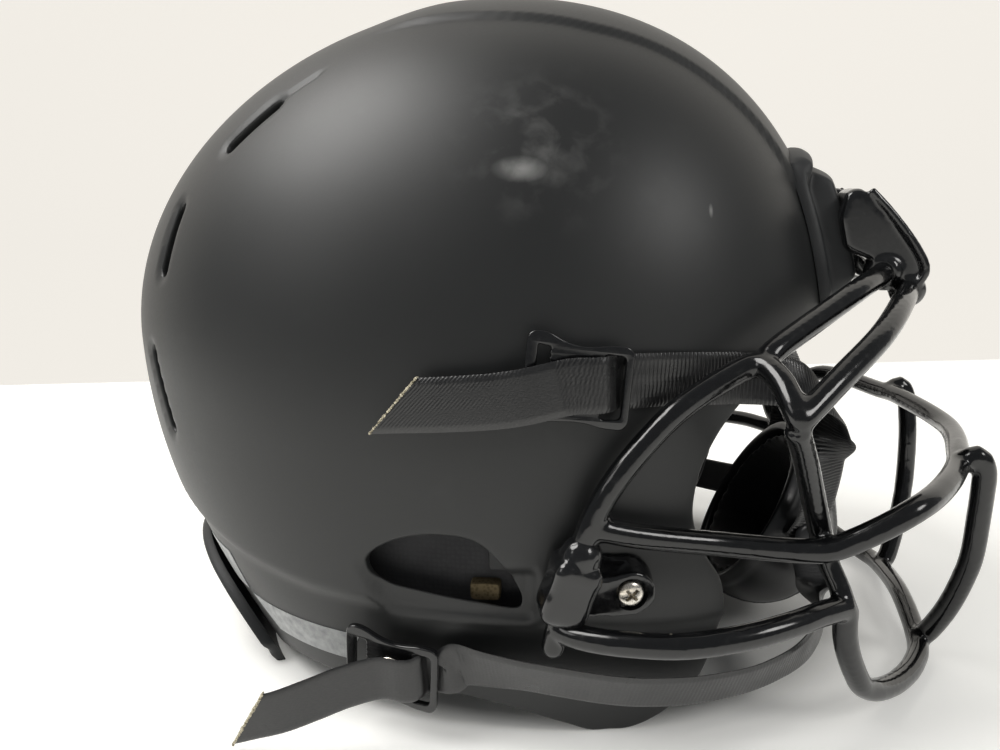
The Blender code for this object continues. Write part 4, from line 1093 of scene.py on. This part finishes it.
def build_top_clips():
    """Top clips: glossy blocks on the front bumper, lobed round both brow bars."""
    near, far = TOP_CLIP_Y
    upright = np.array([[1.0, 0, 0], [0, 0, 1.0], [0, -1.0, 0]])
    outline = rounded(TOP_CLIP_OUTLINE, 2.2, 4)
    middle = outline.mean(axis=0)
    shares = [0.90, 0.97, 1.0, 1.0, 0.97, 0.90]
    heights = [near, near + 0.8, near + 2.4, far - 2.4, far - 0.8, far]
    body = stacked([middle + (outline - middle) * t for t in shares], heights)
    lobes = []
    for half, radius in ((BROW_BAR_UPPER, 6.6), (BROW_BAR_LOWER, 6.0)):
        path = smooth(across(half), 0.8)
        path = path[(path[:, 1] < -near) & (path[:, 1] > -far - 1.0)]
        index = np.arange(len(path))
        scales = np.minimum(1.0, 0.72 + 0.28 * np.minimum(index, index[::-1]) / 3.0)
        lobes.append(sweep(path, ring_section(radius, 24), scales=scales))
    rib_path = smooth([(150, -29.5, 170), (158, -30.2, 161), (166, -30.6, 150), (169, -30.8, 143),
                       (166.5, -30.6, 137.5)], 1.0)
    rib = sweep(rib_path, ring_section(1.5, 12))
    at, axis = TOP_SCREW_FACE, unit(TOP_SCREW_AXIS)
    boss = placed(lathe([(0.2, -9), (6.4, -9), (6.4, -0.6), (5.8, 0.0), (0.2, 0.0)], 32), basis_at(axis), at)
    for side, sign in SIDES.items():
        parts = [mirrored(p, sign) for p in (placed(body, upright, (0, 0, 0)), *lobes, rib, boss)]
        clip = joined("top_clip_" + side, parts)
        fuse(clip, 0.65, 4)
        settle(clip, GLOSS_PLASTIC, ["top_clip_" + side])
        flip = (1.0, sign, 1.0)
        surface = to_shell(at - 60 * axis, axis)
        nut_at = surface - (SHELL_THICKNESS + 5.5) * axis
        length = float(np.linalg.norm(at - nut_at)) + 5.5
        build_screw("top_clip_screw_" + side, (at + 0.3 * axis) * flip, axis * flip, length, 15.0)
        build_t_nut("top_t_nut_" + side, nut_at * flip, axis * flip)


def slab_between(inner, outer):
    """A closed piece between two grids of points of the same shape."""
    rows, columns = inner.shape[:2]
    count = rows * columns
    faces = grid_faces(rows, columns) + grid_faces(rows, columns, start=count, flip=True)
    edge = [k for k in range(columns)]
    edge += [i * columns + columns - 1 for i in range(1, rows)]
    edge += [(rows - 1) * columns + k for k in range(columns - 2, -1, -1)]
    edge += [i * columns for i in range(rows - 2, 0, -1)]
    for a, b in zip(edge, edge[1:] + edge[:1]):
        faces.append([b, a, count + a, count + b])
    return np.vstack([inner.reshape(-1, 3), outer.reshape(-1, 3)]), faces


def build_front_bumper():
    """Nose bumper: a thin flange each side, a thick middle and a rolled lobe along its top."""
    up, part = np.meshgrid(np.linspace(0, 1, 90), np.linspace(-1, 1, 110), indexing="ij")
    y = part * FRONT_BUMPER_HALF_WIDTH * (1.0 - 0.25 * up ** 2)
    top = FRONT_BUMPER_Z[1] - 6.0 * part ** 2
    z = FRONT_BUMPER_Z[0] + up * (top - FRONT_BUMPER_Z[0])
    base = to_shell(np.stack([np.full(y.shape, 60.0), y, z], axis=-1), (1.0, 0.0, 0.0))
    normal = shell_normal(base)
    wide = np.abs(part)
    middle = smoothstep(0.80, 0.66, wide)
    thickness = 2.6 + middle * (7.6 * smoothstep(0.0, 0.16, up) * smoothstep(0.93, 0.72, up))
    lobe = smoothstep(0.97, 0.80, wide) * np.exp(-((up - 0.90) / 0.085) ** 2)
    thickness = np.maximum(thickness, 2.6 + 4.2 * lobe)
    bead = np.exp(-((wide - 0.93) / 0.035) ** 2) * smoothstep(0.02, 0.1, up) * smoothstep(0.95, 0.85, up)
    thickness = thickness + 0.9 * bead
    edge = np.minimum(np.minimum(up, 1 - up) * 53.0, (1 - wide) * 33.0)
    thickness = thickness * edge_round(edge, 2.4, 0.02)
    points, faces = slab_between(base + 0.3 * normal, base + (0.3 + thickness)[..., None] * normal)
    bumper = make_object("front_bumper_cover", points, faces, 60)
    outward_normals(bumper)
    for sign in SIDES.values():
        hole = placed(peg(SCREW_HOLE_RADIUS, -30, 20), basis_at(TOP_SCREW_AXIS), TOP_SCREW_FACE)
        cut(bumper, mirrored(hole, sign))
    resharpen(bumper, 60)
    settle(bumper, BUMPER_RUBBER, ["front_bumper"])


def rear_screw_place():
    at = to_shell(np.array([CENTRE_X, 0.0, REAR_SCREW_Z]), towards(180 + REAR_SCREW_ANGLE, 0))
    return at, shell_normal(at)


def build_rear_bumper():
    """Strip round the rear rim with a bead along its edge and a boss at each screw."""
    up, part = np.meshgrid(np.linspace(0, 1, 60), np.linspace(-1, 1, 260), indexing="ij")
    height = REAR_BUMPER_TOP * (1.0 - 0.8 * part ** 4)
    z = up * height
    angle = 180 + part * REAR_BUMPER_HALF_ANGLE
    start = np.stack([np.full(z.shape, CENTRE_X), np.zeros(z.shape), z], axis=-1)
    flat = towards(angle, 0.0)
    base = to_shell(start, flat)
    below_top = (1 - up) * height
    from_end = (1 - np.abs(part)) * 95.0
    bead = np.exp(-((below_top - 2.3) / 1.7) ** 2)
    thickness = 3.0 + 1.5 * bead + 0.7 * np.exp(-((z - 2.5) / 2.2) ** 2)
    for sign in SIDES.values():
        at = rear_screw_place()[0] * (1.0, sign, 1.0)
        reach = np.linalg.norm(base - at, axis=-1)
        thickness = thickness + 1.2 * smoothstep(8.0, 6.0, reach)
    edge = np.minimum(below_top, from_end)
    thickness = thickness * edge_round(edge, 2.2, 0.03)
    points, faces = slab_between(base + 0.4 * flat, base + (0.4 + thickness)[..., None] * flat)
    bumper = make_object("rear_bumper_cover", points, faces, 60)
    outward_normals(bumper)
    at, normal = rear_screw_place()
    for side, sign in SIDES.items():
        cut(bumper, mirrored(placed(peg(SCREW_HOLE_RADIUS, -6, 14), basis_at(normal), at), sign))
    resharpen(bumper, 60)
    settle(bumper, BUMPER_RUBBER, ["rear_bumper"])
    for side, sign in SIDES.items():
        flip = (1.0, sign, 1.0)
        build_screw("rear_bumper_screw_" + side, (at + 5.7 * normal) * flip, normal * flip, 9.5, 60.0)


def stud_place(level):
    at = on_side(*STUD_PLACE[level])
    return at, shell_normal(at)


def build_buckle(level, side, sign):
    """Stud on the shell, snap cap, and the moulded buckle between them."""
    at, normal = stud_place(level)
    basis = basis_at(normal)
    label = level + "_" + side
    body = level + "_buckle_" + side
    stud = lathe([(0.3, 3.2), (2.6, 3.2), (3.3, 2.9), (3.3, 2.4), (2.6, 1.9), (2.6, 1.6), (4.2, 1.3),
                  (4.6, 0.9), (4.6, 0.3), (0.3, 0.3)][::-1], 36)
    stud = mirrored(placed(stud, basis, at), sign)
    settled("snap_stud_" + label, stud, 40, NICKEL, ["snap_stud_" + label])
    top = BUCKLE_BOTTOM + BUCKLE_THICKNESS
    cap = lathe([(0.3, top + 0.55), (2.2, top + 0.6), (3.0, top + 0.95), (4.3, top + 1.2),
                 (5.5, top + 1.15), (6.2, top + 0.85), (6.4, top + 0.5), (6.2, top + 0.3),
                 (3.8, top + 0.3), (3.8, BUCKLE_BOTTOM), (0.3, BUCKLE_BOTTOM)][::-1], 44)
    cap = mirrored(placed(cap, basis, at), sign)
    settled("snap_cap_" + label, cap, 45, NICKEL, ["snap_cap_" + label], body)
    outline = rounded(BUCKLE_TOP + BUCKLE_LOWER, 2.4, 6)
    teeth = [(-8.4 - 0.6 * (k % 2), -8.4 + 0.9 * k) for k in range(22)]
    slot = rounded([*teeth, (-12.4, 10.9), (-12.6, -8.6)], 0.4, 2)
    wide_slot = rounded([(6.9, -9.4), (13.2, -9.2), (13.2, 9.2), (6.9, 9.4)], 1.6, 4)
    turn = np.arange(32) * 2 * math.pi / 32
    hole = np.stack([4.2 * np.cos(turn), 4.2 * np.sin(turn)], axis=1)
    spun = basis_at(normal, spin=BUCKLE_TILT[level])
    lift = at + (BUCKLE_BOTTOM + BUCKLE_THICKNESS / 2) * normal
    flat = plate([outline, slot[::-1], wide_slot, hole], BUCKLE_THICKNESS, 0.55, spun, lift)
    settled("buckle_frame_" + label, mirrored(flat, sign), 40, GLOSS_PLASTIC,
            ["buckle_" + label], body)


def turned(vector, axis, angle):
    """A vector turned about a unit axis, angle in degrees."""
    c, s = math.cos(math.radians(angle)), math.sin(math.radians(angle))
    return vector * c + np.cross(axis, vector) * s + axis * np.dot(axis, vector) * (1 - c)


class Ribbon:
    """A strap's middle line and the directions across it, laid out by length."""

    def __init__(self, path, spans):
        path = np.asarray(path, float)
        spans = np.asarray(spans, float)
        fine = smooth(path, 0.6)
        marks = np.concatenate([[0.0], np.cumsum([max(1, round(float(np.linalg.norm(b - a)) / 0.6))
                                                  for a, b in zip(path, path[1:])])])
        index = np.arange(len(fine))
        self.path = fine
        self.at = np.concatenate([[0.0], np.cumsum(np.linalg.norm(np.diff(fine, axis=0), axis=1))])
        span = np.stack([np.interp(index, marks, spans[:, k]) for k in range(3)], axis=1)
        for _ in range(3):
            span[1:-1] = 0.25 * span[:-2] + 0.5 * span[1:-1] + 0.25 * span[2:]
        ahead = unit(np.gradient(fine, axis=0))
        self.span = unit(span - np.sum(span * ahead, axis=1)[:, None] * ahead)
        self.face = np.cross(ahead, self.span)
        self.length = float(self.at[-1])

    def read(self, values, s):
        return np.stack([np.interp(s, self.at, values[:, k]) for k in range(3)], axis=-1)

    def woven(self, start, end, skew, ribs):
        """A stretch of webbing from start to end; skew slants its first end; ribs are (from, height)."""
        columns = np.concatenate([np.linspace(-1, 1, 15), np.linspace(0.94, -0.94, 13)])
        facing = np.concatenate([np.ones(15), -np.ones(13)])
        rows = max(8, round((end - start) / 0.26))
        share = np.linspace(0, 1, rows)[:, None]
        first = start + skew * (columns + 1) / 2
        s = first + (end - first) * share
        wide = np.abs(columns)
        half = WEBBING_THICKNESS / 2 * np.sqrt(np.clip(1 - wide ** 9, 0, 1))
        half = half * (1 + 0.15 * np.exp(-((wide - 0.88) / 0.05) ** 2))
        inner = smoothstep(0.93, 0.86, wide)
        height = np.full(s.shape, ribs[0][1])
        for (begin, tall), (_, before) in zip(ribs[1:], ribs):
            height = height + (tall - before) * smoothstep(begin - 1.0, begin + 1.0, s)
        wave = np.cos(2 * math.pi * s / RIB_PITCH + 0.5 * np.sin(columns * 9))
        offset = facing * (half + inner * height * (wave - 1) * 0.5)
        aside = (columns * WEBBING_WIDTH / 2)[None, :, None] * self.read(self.span, s)
        points = self.read(self.path, s) + aside + offset[..., None] * self.read(self.face, s)
        count = len(columns)
        return points.reshape(-1, 3), grid_faces(rows, count, wrap=True) + end_faces(rows, count)


def strap_spans(path, leans):
    """Directions across a strap: upright, with its top leaned outward by an angle at each point."""
    path = np.asarray(path, float)
    spans = []
    for i, lean in enumerate(leans):
        ahead = unit(path[min(i + 1, len(path) - 1)] - path[max(i - 1, 0)])
        upright = unit(np.array([0, 0, 1.0]) - ahead * ahead[2])
        spans.append(turned(upright, ahead, -lean))
    return spans


def frayed_edge(ribbon, skew, count=46):
    """Small tufts of cut fibre along a slanted end."""
    random = np.random.default_rng(FRAY_SEED)
    tufts = []
    for k in range(count):
        v = -1 + 2 * (k + random.uniform(0, 1)) / count
        s = skew * (v + 1) / 2
        at = ribbon.read(ribbon.path, s) + v * WEBBING_WIDTH / 2 * ribbon.read(ribbon.span, s)
        out = ribbon.read(ribbon.face, s)
        back = unit(ribbon.read(ribbon.path, s) - ribbon.read(ribbon.path, s + 1.0))
        size = random.uniform(0.22, 0.42) * (1.7 if random.uniform() > 0.9 else 1.0)
        path = [at - 0.6 * out, at + 0.1 * out + size * 0.5 * back, at + random.uniform(0.5, 0.95) * out]
        tufts.append(wire(path, 0.4, size, True, upward=back))
    return tufts


def build_straps():
    """Each strap: the tail and first stretch on its buckle, and the rest on to the chin cup."""
    for level in LEVELS:
        at, normal = stud_place(level)
        forward, upright, _ = basis_at(normal)
        through = [at + u * forward + h * normal for u, h in SLOT_PASS]
        tail = np.array(TAIL_PATHS[level], float)
        tail = np.vstack([tail[0] - 8.0 * unit(tail[1] - tail[0]), tail, through])
        shell_run = [off_shell(x, z, off) for x, z, off in SHELL_STRETCH[level]]
        run = np.vstack([shell_run, FREE_STRETCH[level]])
        leans = list(STRAP_LEAN[level])
        spans = [upright] * len(tail) + strap_spans(run[:len(leans)], leans)
        spans += [np.array(CUP_END_SPAN[level])] * (len(run) - len(leans))
        ribbon = Ribbon(np.vstack([tail, run]), spans)
        passing = float(ribbon.at[np.argmin(np.linalg.norm(ribbon.path - through[2], axis=1))])
        split = STRAP_SPLIT[level] * ribbon.length
        ribs = list(zip((-1e9, passing - 13.0, passing - 1.0), STRAP_RIBS[level]))
        near = ribbon.woven(0.0, split + STRAP_OVERLAP, TAIL_SLANT, ribs)
        far = ribbon.woven(split - STRAP_OVERLAP, ribbon.length, 0.0, ribs)
        fray = frayed_edge(ribbon, TAIL_SLANT)
        for side, sign in SIDES.items():
            label = level + "_" + side
            piece = joined("strap_tail_" + label, [mirrored(near, sign)], 60)
            ends = joined("fray", [mirrored(f, sign) for f in fray], 60)
            outward_normals(piece)
            outward_normals(ends)
            piece.data.materials.append(WEBBING)
            ends.data.materials.append(WEBBING_CUT)
            with bpy.context.temp_override(active_object=piece, selected_editable_objects=[piece, ends]):
                bpy.ops.object.join()
            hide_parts("strap_tail_" + label)
            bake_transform(piece)
            rest = joined("strap_" + label, [mirrored(far, sign)], 60)
            outward_normals(rest)
            rest.data.materials.append(WEBBING)
            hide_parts("strap_" + label)
            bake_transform(rest)


def cup_surface(shrink, rings, columns, reach=1.0):
    """Rows of points of the chin cup's bowl from its deepest point to its rim."""
    deep = -CUP_FACING
    side = np.array([0.0, 1.0, 0.0])
    other = np.cross(deep, side)
    radii = CUP_RADII - shrink
    turn = np.arange(columns) * 2 * math.pi / columns
    radial = np.cos(turn)[:, None] * side + np.sin(turn)[:, None] * other
    low, high = np.zeros(columns), np.full(columns, math.pi * 0.9)
    for _ in range(40):
        middle = 0.5 * (low + high)
        d = np.cos(middle)[:, None] * deep + np.sin(middle)[:, None] * radial
        p = d / np.linalg.norm(d / radii, axis=1)[:, None]
        within = p @ CUP_FACING < CUP_CUT
        low, high = np.where(within, middle, low), np.where(within, high, middle)
    rows = []
    for k in range(1, rings + 1):
        angle = low * reach * k / rings
        d = np.cos(angle)[:, None] * deep + np.sin(angle)[:, None] * radial
        rows.append(CUP_CENTRE + d / np.linalg.norm(d / radii, axis=1)[:, None])
    tip = CUP_CENTRE + deep / np.linalg.norm(deep / radii)
    return np.array(rows), tip


def cup_normal(points):
    return unit((points - CUP_CENTRE) / CUP_RADII ** 2)


def cup_level(points):
    """Positive on the cup, negative over its rim and in its slots."""
    offset = points - CUP_CENTRE
    level = CUP_CUT - offset @ CUP_FACING
    up = np.array([CUP_FACING[2], 0.0, -CUP_FACING[0]])
    across_cup, up_cup = offset[..., 1], offset @ up
    for (y, v), radius, half in CUP_SLOTS:
        run = np.maximum(np.abs(up_cup - v) - (half - radius), 0.0)
        hole = np.hypot(run, across_cup - y) - radius
        level = np.minimum(level, np.where(offset @ CUP_FACING < -5, hole, 50.0))
    return level


def build_chin_cup():
    """Hard slotted cup with a bead round its rim, bosses for the straps, and their studs."""
    rings, columns = 60, 180
    grid, tip = cup_surface(0.0, rings, columns, 0.985)
    points = np.vstack([grid.reshape(-1, 3), tip])
    faces = grid_faces(rings, columns, wrap=True)
    faces += [[len(points) - 1, (k + 1) % columns, k] for k in range(columns)]
    points, faces = trimmed(points, faces, cup_level(points) - 0.7)
    normal = cup_normal(points)
    offset = points - CUP_CENTRE
    from_rim = CUP_CUT - offset @ CUP_FACING
    relief = 1.1 * smoothstep(6.0, 4.5, from_rim)
    for sign in (1, -1):
        reach = np.linalg.norm(points - CUP_BOSS * (1, sign, 1), axis=1)
        relief = relief + 1.3 * smoothstep(8.0, 7.0, reach)
    ridge = np.abs(np.abs(offset[:, 1]) - 22.0)
    relief = relief + 0.9 * smoothstep(1.8, 0.8, ridge) * smoothstep(6, 9, from_rim)
    profile = [(0, 0), (0.35, 0.1), (0.7, 0.6), (0.7, 2.0), (0.35, 2.5), (0, CUP_THICKNESS)]
    cup = thickened(points, faces, normal, relief, cup_level, CUP_THICKNESS, profile)
    settled("chin_cup_shell", cup, 45, CUP_PLASTIC, ["chin_cup"], "chin_cup")
    for side, sign in SIDES.items():
        at = CUP_BOSS * (1, sign, 1)
        face = cup_normal(at)
        stud = placed(lathe([(0.3, 5.0), (3.2, 5.0), (4.3, 4.6), (4.8, 3.9), (4.6, 3.3), (2.4, 3.0),
                             (2.4, 0.8), (0.3, 0.8)][::-1], 32), basis_at(face), at)
        settled("cup_strap_stud_" + side, stud, 45, CUP_PLASTIC, (), "chin_cup")


def patch(angles, elevations, inward, thickness, step):
    """A slab inside the shell between angles round it and elevations."""
    columns = max(3, round((angles[1] - angles[0]) * 1.9 / step))
    rows = max(3, round((elevations[1] - elevations[0]) * 1.9 / step))
    turn, up = np.meshgrid(np.linspace(*angles, columns), np.linspace(*elevations, rows))
    outer = to_shell(EYE, towards(turn, up))
    normal = shell_normal(outer)
    return slab_between(outer - inward * normal, outer - (inward + thickness) * normal)


def round_patch(lowest, inward, thickness):
    """A round slab under the crown."""
    rows, columns = 9, 48
    last = (rows - 1) * columns
    turn, up = np.meshgrid(np.arange(columns) * 360.0 / columns, np.linspace(89.0, lowest, rows))
    outer = to_shell(EYE, towards(turn, up))
    normal = shell_normal(outer)
    top = (outer - inward * normal).reshape(-1, 3)
    low = (outer - (inward + thickness) * normal).reshape(-1, 3)
    faces = grid_faces(rows, columns, wrap=True) + grid_faces(rows, columns, True, len(top), True)
    faces += [list(range(columns))[::-1], [len(top) + k for k in range(columns)]]
    faces += ring_strip(last, len(top) + last, columns)
    return np.vstack([top, low]), faces


def pad_slabs():
    """The plain slab of each pad, a little smaller than the room that it fills."""
    slabs = {}
    for name, (angles, elevations, thickness, room) in PADS.items():
        inward = SHELL_THICKNESS + room + PAD_MARGIN
        thickness -= 2 * PAD_MARGIN
        if angles[1] - angles[0] == 360:
            slabs[name] = round_patch(elevations[0] + 0.8, inward, thickness)
        else:
            turn = (angles[0] + 1.0, angles[1] - 1.0)
            up = (elevations[0] + 0.8, elevations[1] - 0.8)
            slabs[name] = patch(turn, up, inward, thickness, 6.0)
    rings, columns = 14, 60
    grid, tip = cup_surface(CUP_THICKNESS + 1.3, rings, columns, 0.97)
    inner, inner_tip = cup_surface(CUP_THICKNESS + CUP_PAD_THICKNESS - 0.8, rings, columns, 0.97)
    count = rings * columns + 1
    last = (rings - 1) * columns
    faces = grid_faces(rings, columns, wrap=True) + grid_faces(rings, columns, True, count, True)
    for k in range(columns):
        j = (k + 1) % columns
        faces += [[count - 1, j, k], [2 * count - 1, count + k, count + j]]
    faces += ring_strip(last, count + last, columns)
    slabs["chin_cup_pad"] = (np.vstack([grid.reshape(-1, 3), tip, inner.reshape(-1, 3), inner_tip]), faces)
    return slabs


def build_pads():
    """Liner pads: each slab is remeshed, filled out by a short cloth simulation, and smoothed."""
    pads = {}
    for name, slab in pad_slabs().items():
        pad = joined(name + "_cushion", [slab])
        fuse(pad, 2.2 if name == "chin_cup_pad" else 4.0, 3)
        pads[name] = pad
    inflate(pads)
    for name, pad in pads.items():
        subdivide(pad, 1)
        stitch_seam(name, pad)
        pad.data.shade_smooth()
        settle(pad, PAD_COVER, [name], "chin_cup" if name == "chin_cup_pad" else "helmet")


def build_ear_pads():
    """Thin pad behind each ear hole, with a foam block and a tab on its outer face."""
    inward = SHELL_THICKNESS + EAR_PAD_GAP
    for side, sign in SIDES.items():
        slab = patch(EAR_PAD_ANGLES, EAR_PAD_LEVELS, inward, EAR_PAD_THICKNESS, 4.0)
        pad = joined(f"ear_pad_{side}", [mirrored(slab, sign)])
        outward_normals(pad)
        subdivide(pad, 2)
        pad.data.shade_smooth()
        settle(pad, PAD_COVER)
        for name, (x, z), (wide, tall, deep) in EAR_FITTINGS:
            outer = on_side(x, z)
            normal = shell_normal(outer)
            rim = rounded(oblong(wide, tall), 1.2, 3)
            block = stacked([rim * 0.9, rim, rim, rim * 0.92], [-deep, -deep + 0.5, deep - 0.6, deep])
            seat = outer - (inward - deep + 0.6) * normal
            piece = joined(f"{name}_{side}", [mirrored(placed(block, basis_at(normal), seat), sign)])
            outward_normals(piece)
            resharpen(piece, 40)
            if name == "ear_foam":
                settle(piece, BARE_FOAM)
            else:
                settle(piece, BUMPER_RUBBER)


def inflate(pads):
    """Swell every pad together under pressure, then cap how far each point moved."""
    before = {}
    for name, pad in pads.items():
        before[name] = np.array([v.co for v in pad.data.vertices])
        cloth = pad.modifiers.new("Cloth", "CLOTH")
        cloth.settings.use_pressure = True
        cloth.settings.uniform_pressure_force = CLOTH_PRESSURE
        cloth.settings.quality = 5
        cloth.settings.effector_weights.gravity = 0.0
    scene = bpy.context.scene
    for number in range(1, CLOTH_FRAMES + 1):
        scene.frame_set(number)
    for name, pad in pads.items():
        done = pad.evaluated_get(bpy.context.evaluated_depsgraph_get())
        after = np.array([v.co for v in done.data.vertices])
        pad.modifiers.clear()
        move = after - before[name]
        length = np.linalg.norm(move, axis=1, keepdims=True)
        move *= np.minimum(1.0, MOST_SWELL * MM / np.maximum(length, 1e-9))
        pad.data.vertices.foreach_set("co", (before[name] + move).ravel())
        pad.data.update()
    scene.frame_set(1)


def stitch_seam(name, pad):
    """Sink welded channels into a pad's inner face."""
    points = np.array([v.co for v in pad.data.vertices]) / MM - (SHIFT_X, 0, 0)
    if name == "chin_cup_pad":
        return
    offset = points - EYE
    angle = np.degrees(np.arctan2(offset[:, 1], offset[:, 0])) % 360
    if PADS[name][0][0] < 0:
        angle = (angle + 180) % 360 - 180
    up = np.degrees(np.arctan2(offset[:, 2], np.hypot(offset[:, 0], offset[:, 1])))
    (a0, a1), _, thickness, room = PADS[name]
    depth = -outside(points)
    inner = smoothstep(0.45, 0.85, (depth - SHELL_THICKNESS - room) / thickness)
    if a1 - a0 == 360:
        reach = np.abs(up - CROWN_SEAM) * 1.8
    else:
        reach = np.abs((angle - 0.5 * (a0 + a1)) * math.radians(1) * 100 * np.cos(np.radians(up)))
    sink = SEAM_DEPTH * inner * np.exp(-(reach / SEAM_WIDTH) ** 2)
    normal = shell_normal(points)
    pad.data.vertices.foreach_set("co", to_row(points + sink[:, None] * normal).ravel())
    pad.data.update()


def build_labels():
    """Blank film labels on the rear right of the shell."""
    for name, corners in (("blank_label_side", [(-64.5, 29.8), (-13.0, 30.6), (-18.0, 20.0), (-52.0, 19.0)]),
                          ("blank_label_rear", [(-88.0, 46.5), (-73.0, 45.5), (-66.5, 31.0), (-80.0, 30.0)])):
        a, b, c, d = (np.array(p) for p in corners)
        t, r = np.meshgrid(np.linspace(0, 1, 50), np.linspace(0, 1, 16))
        t, r = t[..., None], r[..., None]
        flat = (1 - r) * ((1 - t) * a + t * b) + r * ((1 - t) * d + t * c)
        start = np.stack([flat[..., 0], np.zeros(flat.shape[:2]), flat[..., 1]], axis=-1)
        base = to_shell(start, (0.0, -1.0, 0.0))
        normal = shell_normal(base)
        rise = shell_relief(base)[..., None]
        film = slab_between(base + (rise + 0.05) * normal, base + (rise + 0.25) * normal)
        settled(name, film, 40, LABEL_PAPER)


def build_stage():
    """Pale table and wall, soft light, and the light from overhead on the left; the table's glow is faded out
    round the helmet as a painted shadow.
    """
    floor_look = Nodes("stage_pale", (0.86, 0.86, 0.84), 0.7)
    floor_look.set("Emission Color", (1.0, 0.99, 0.95, 1.0))
    flat = floor_look.stretched((1.0, 1.25, 1.0))
    reach = floor_look.add("ShaderNodeVectorMath", {0: flat}, operation="LENGTH").outputs["Value"]
    # The table's glow falls to nothing under and round the helmet: a painted shadow on the table.
    floor_look.link("Emission Strength", floor_look.span(reach, *PAINTED_SHADOW_EDGE, 0.0, FLOOR_GLOW))
    wall_look = Nodes("stage_wall", (0.30, 0.285, 0.26), 0.8)
    wall_look.set("Emission Color", (1.0, 0.96, 0.89, 1.0))
    wall_look.set("Emission Strength", WALL_GLOW)
    for name, look, centre, low, high, tilt in (
            ("stage_floor", floor_look, TABLE_END, (-4.0, -6.0), (4.0, 0.0), 0.0),
            ("stage_wall", wall_look, (0.0, WALL_AWAY, 0.0), (-12.0, -6.0), (12.0, 12.0), 90.0)):
        mesh = bpy.data.meshes.new(name)
        corners = [(*low, 0), (high[0], low[1], 0), (*high, 0), (low[0], high[1], 0)]
        mesh.from_pydata(corners, [], [(0, 1, 2, 3)])
        plane = bpy.data.objects.new(name, mesh)
        mesh.materials.append(look.material)
        turn = Matrix.Rotation(math.radians(STAGE_TURN), 4, "Z") @ Matrix.Rotation(math.radians(tilt), 4, "X")
        mesh.transform(Matrix.Translation(centre) @ turn)
        bpy.context.scene.collection.objects.link(plane)
    for name, location, size, power in LIGHTS:
        data = bpy.data.lights.new(name, "AREA")
        data.shape = "DISK"
        data.size = size
        data.energy = power
        data.color = (1.0, 0.985, 0.96)
        lamp = bpy.data.objects.new(name, data)
        lamp.location = location
        lamp.rotation_euler = (Vector((0, 0, 0.1)) - lamp.location).to_track_quat("-Z", "Y").to_euler()
        bpy.context.scene.collection.objects.link(lamp)
    world = bpy.data.worlds.new("soft_room")
    world.use_nodes = True
    world.node_tree.nodes["Background"].inputs["Color"].default_value = (0.94, 0.97, 1.0, 1.0)
    world.node_tree.nodes["Background"].inputs["Strength"].default_value = ROOM_LIGHT
    bpy.context.scene.world = world
    bpy.context.scene.view_settings.view_transform = "Standard"


def build_camera():
    data = bpy.data.cameras.new("photo_camera")
    data.lens = CAMERA_LENS
    data.sensor_width = 36.0
    data.clip_start = 0.01
    camera = bpy.data.objects.new("photo_camera", data)
    yaw, pitch, roll = (math.radians(a) for a in (CAMERA_YAW, CAMERA_PITCH, CAMERA_ROLL))
    ahead = Vector((-math.sin(yaw) * math.cos(pitch), math.cos(yaw) * math.cos(pitch), math.sin(pitch)))
    level = Vector((math.cos(yaw), math.sin(yaw), 0))
    upward = level.cross(ahead)
    right = math.cos(roll) * level + math.sin(roll) * upward
    top = -math.sin(roll) * level + math.cos(roll) * upward
    basis = Matrix((right, top, -ahead)).transposed().to_4x4()
    camera.matrix_world = Matrix.Translation(place(*CAMERA_PLACE)) @ basis
    bpy.context.scene.collection.objects.link(camera)
    bpy.context.scene.camera = camera


RIM_OUTLINE = np.vstack([smooth(RIM, 1.5), [(170, -150), (-170, -150)]])
EAR_OUTLINE = smooth(EAR_HOLE, 1.2, closed=True)
SLOTS = slot_frames()
SHELL_PAINT = shell_paint()
MASK_COATING = mask_coating()
GLOSS_PLASTIC = gloss_plastic()
BUMPER_RUBBER = bumper_rubber()
WEBBING = webbing_weave()
WEBBING_CUT = webbing_cut()
NICKEL = nickel_plate()
PAD_COVER = pad_cover()
BARE_FOAM = bare_foam()
CUP_PLASTIC = cup_plastic()
LABEL_PAPER = label_paper()

build_camera()
build_stage()
build_shell()
build_mask()
build_side_clips()
build_top_clips()
build_front_bumper()
build_rear_bumper()
for buckle_level in LEVELS:
    for buckle_side, buckle_sign in SIDES.items():
        build_buckle(buckle_level, buckle_side, buckle_sign)
build_straps()
build_chin_cup()
build_pads()
build_ear_pads()
build_labels()
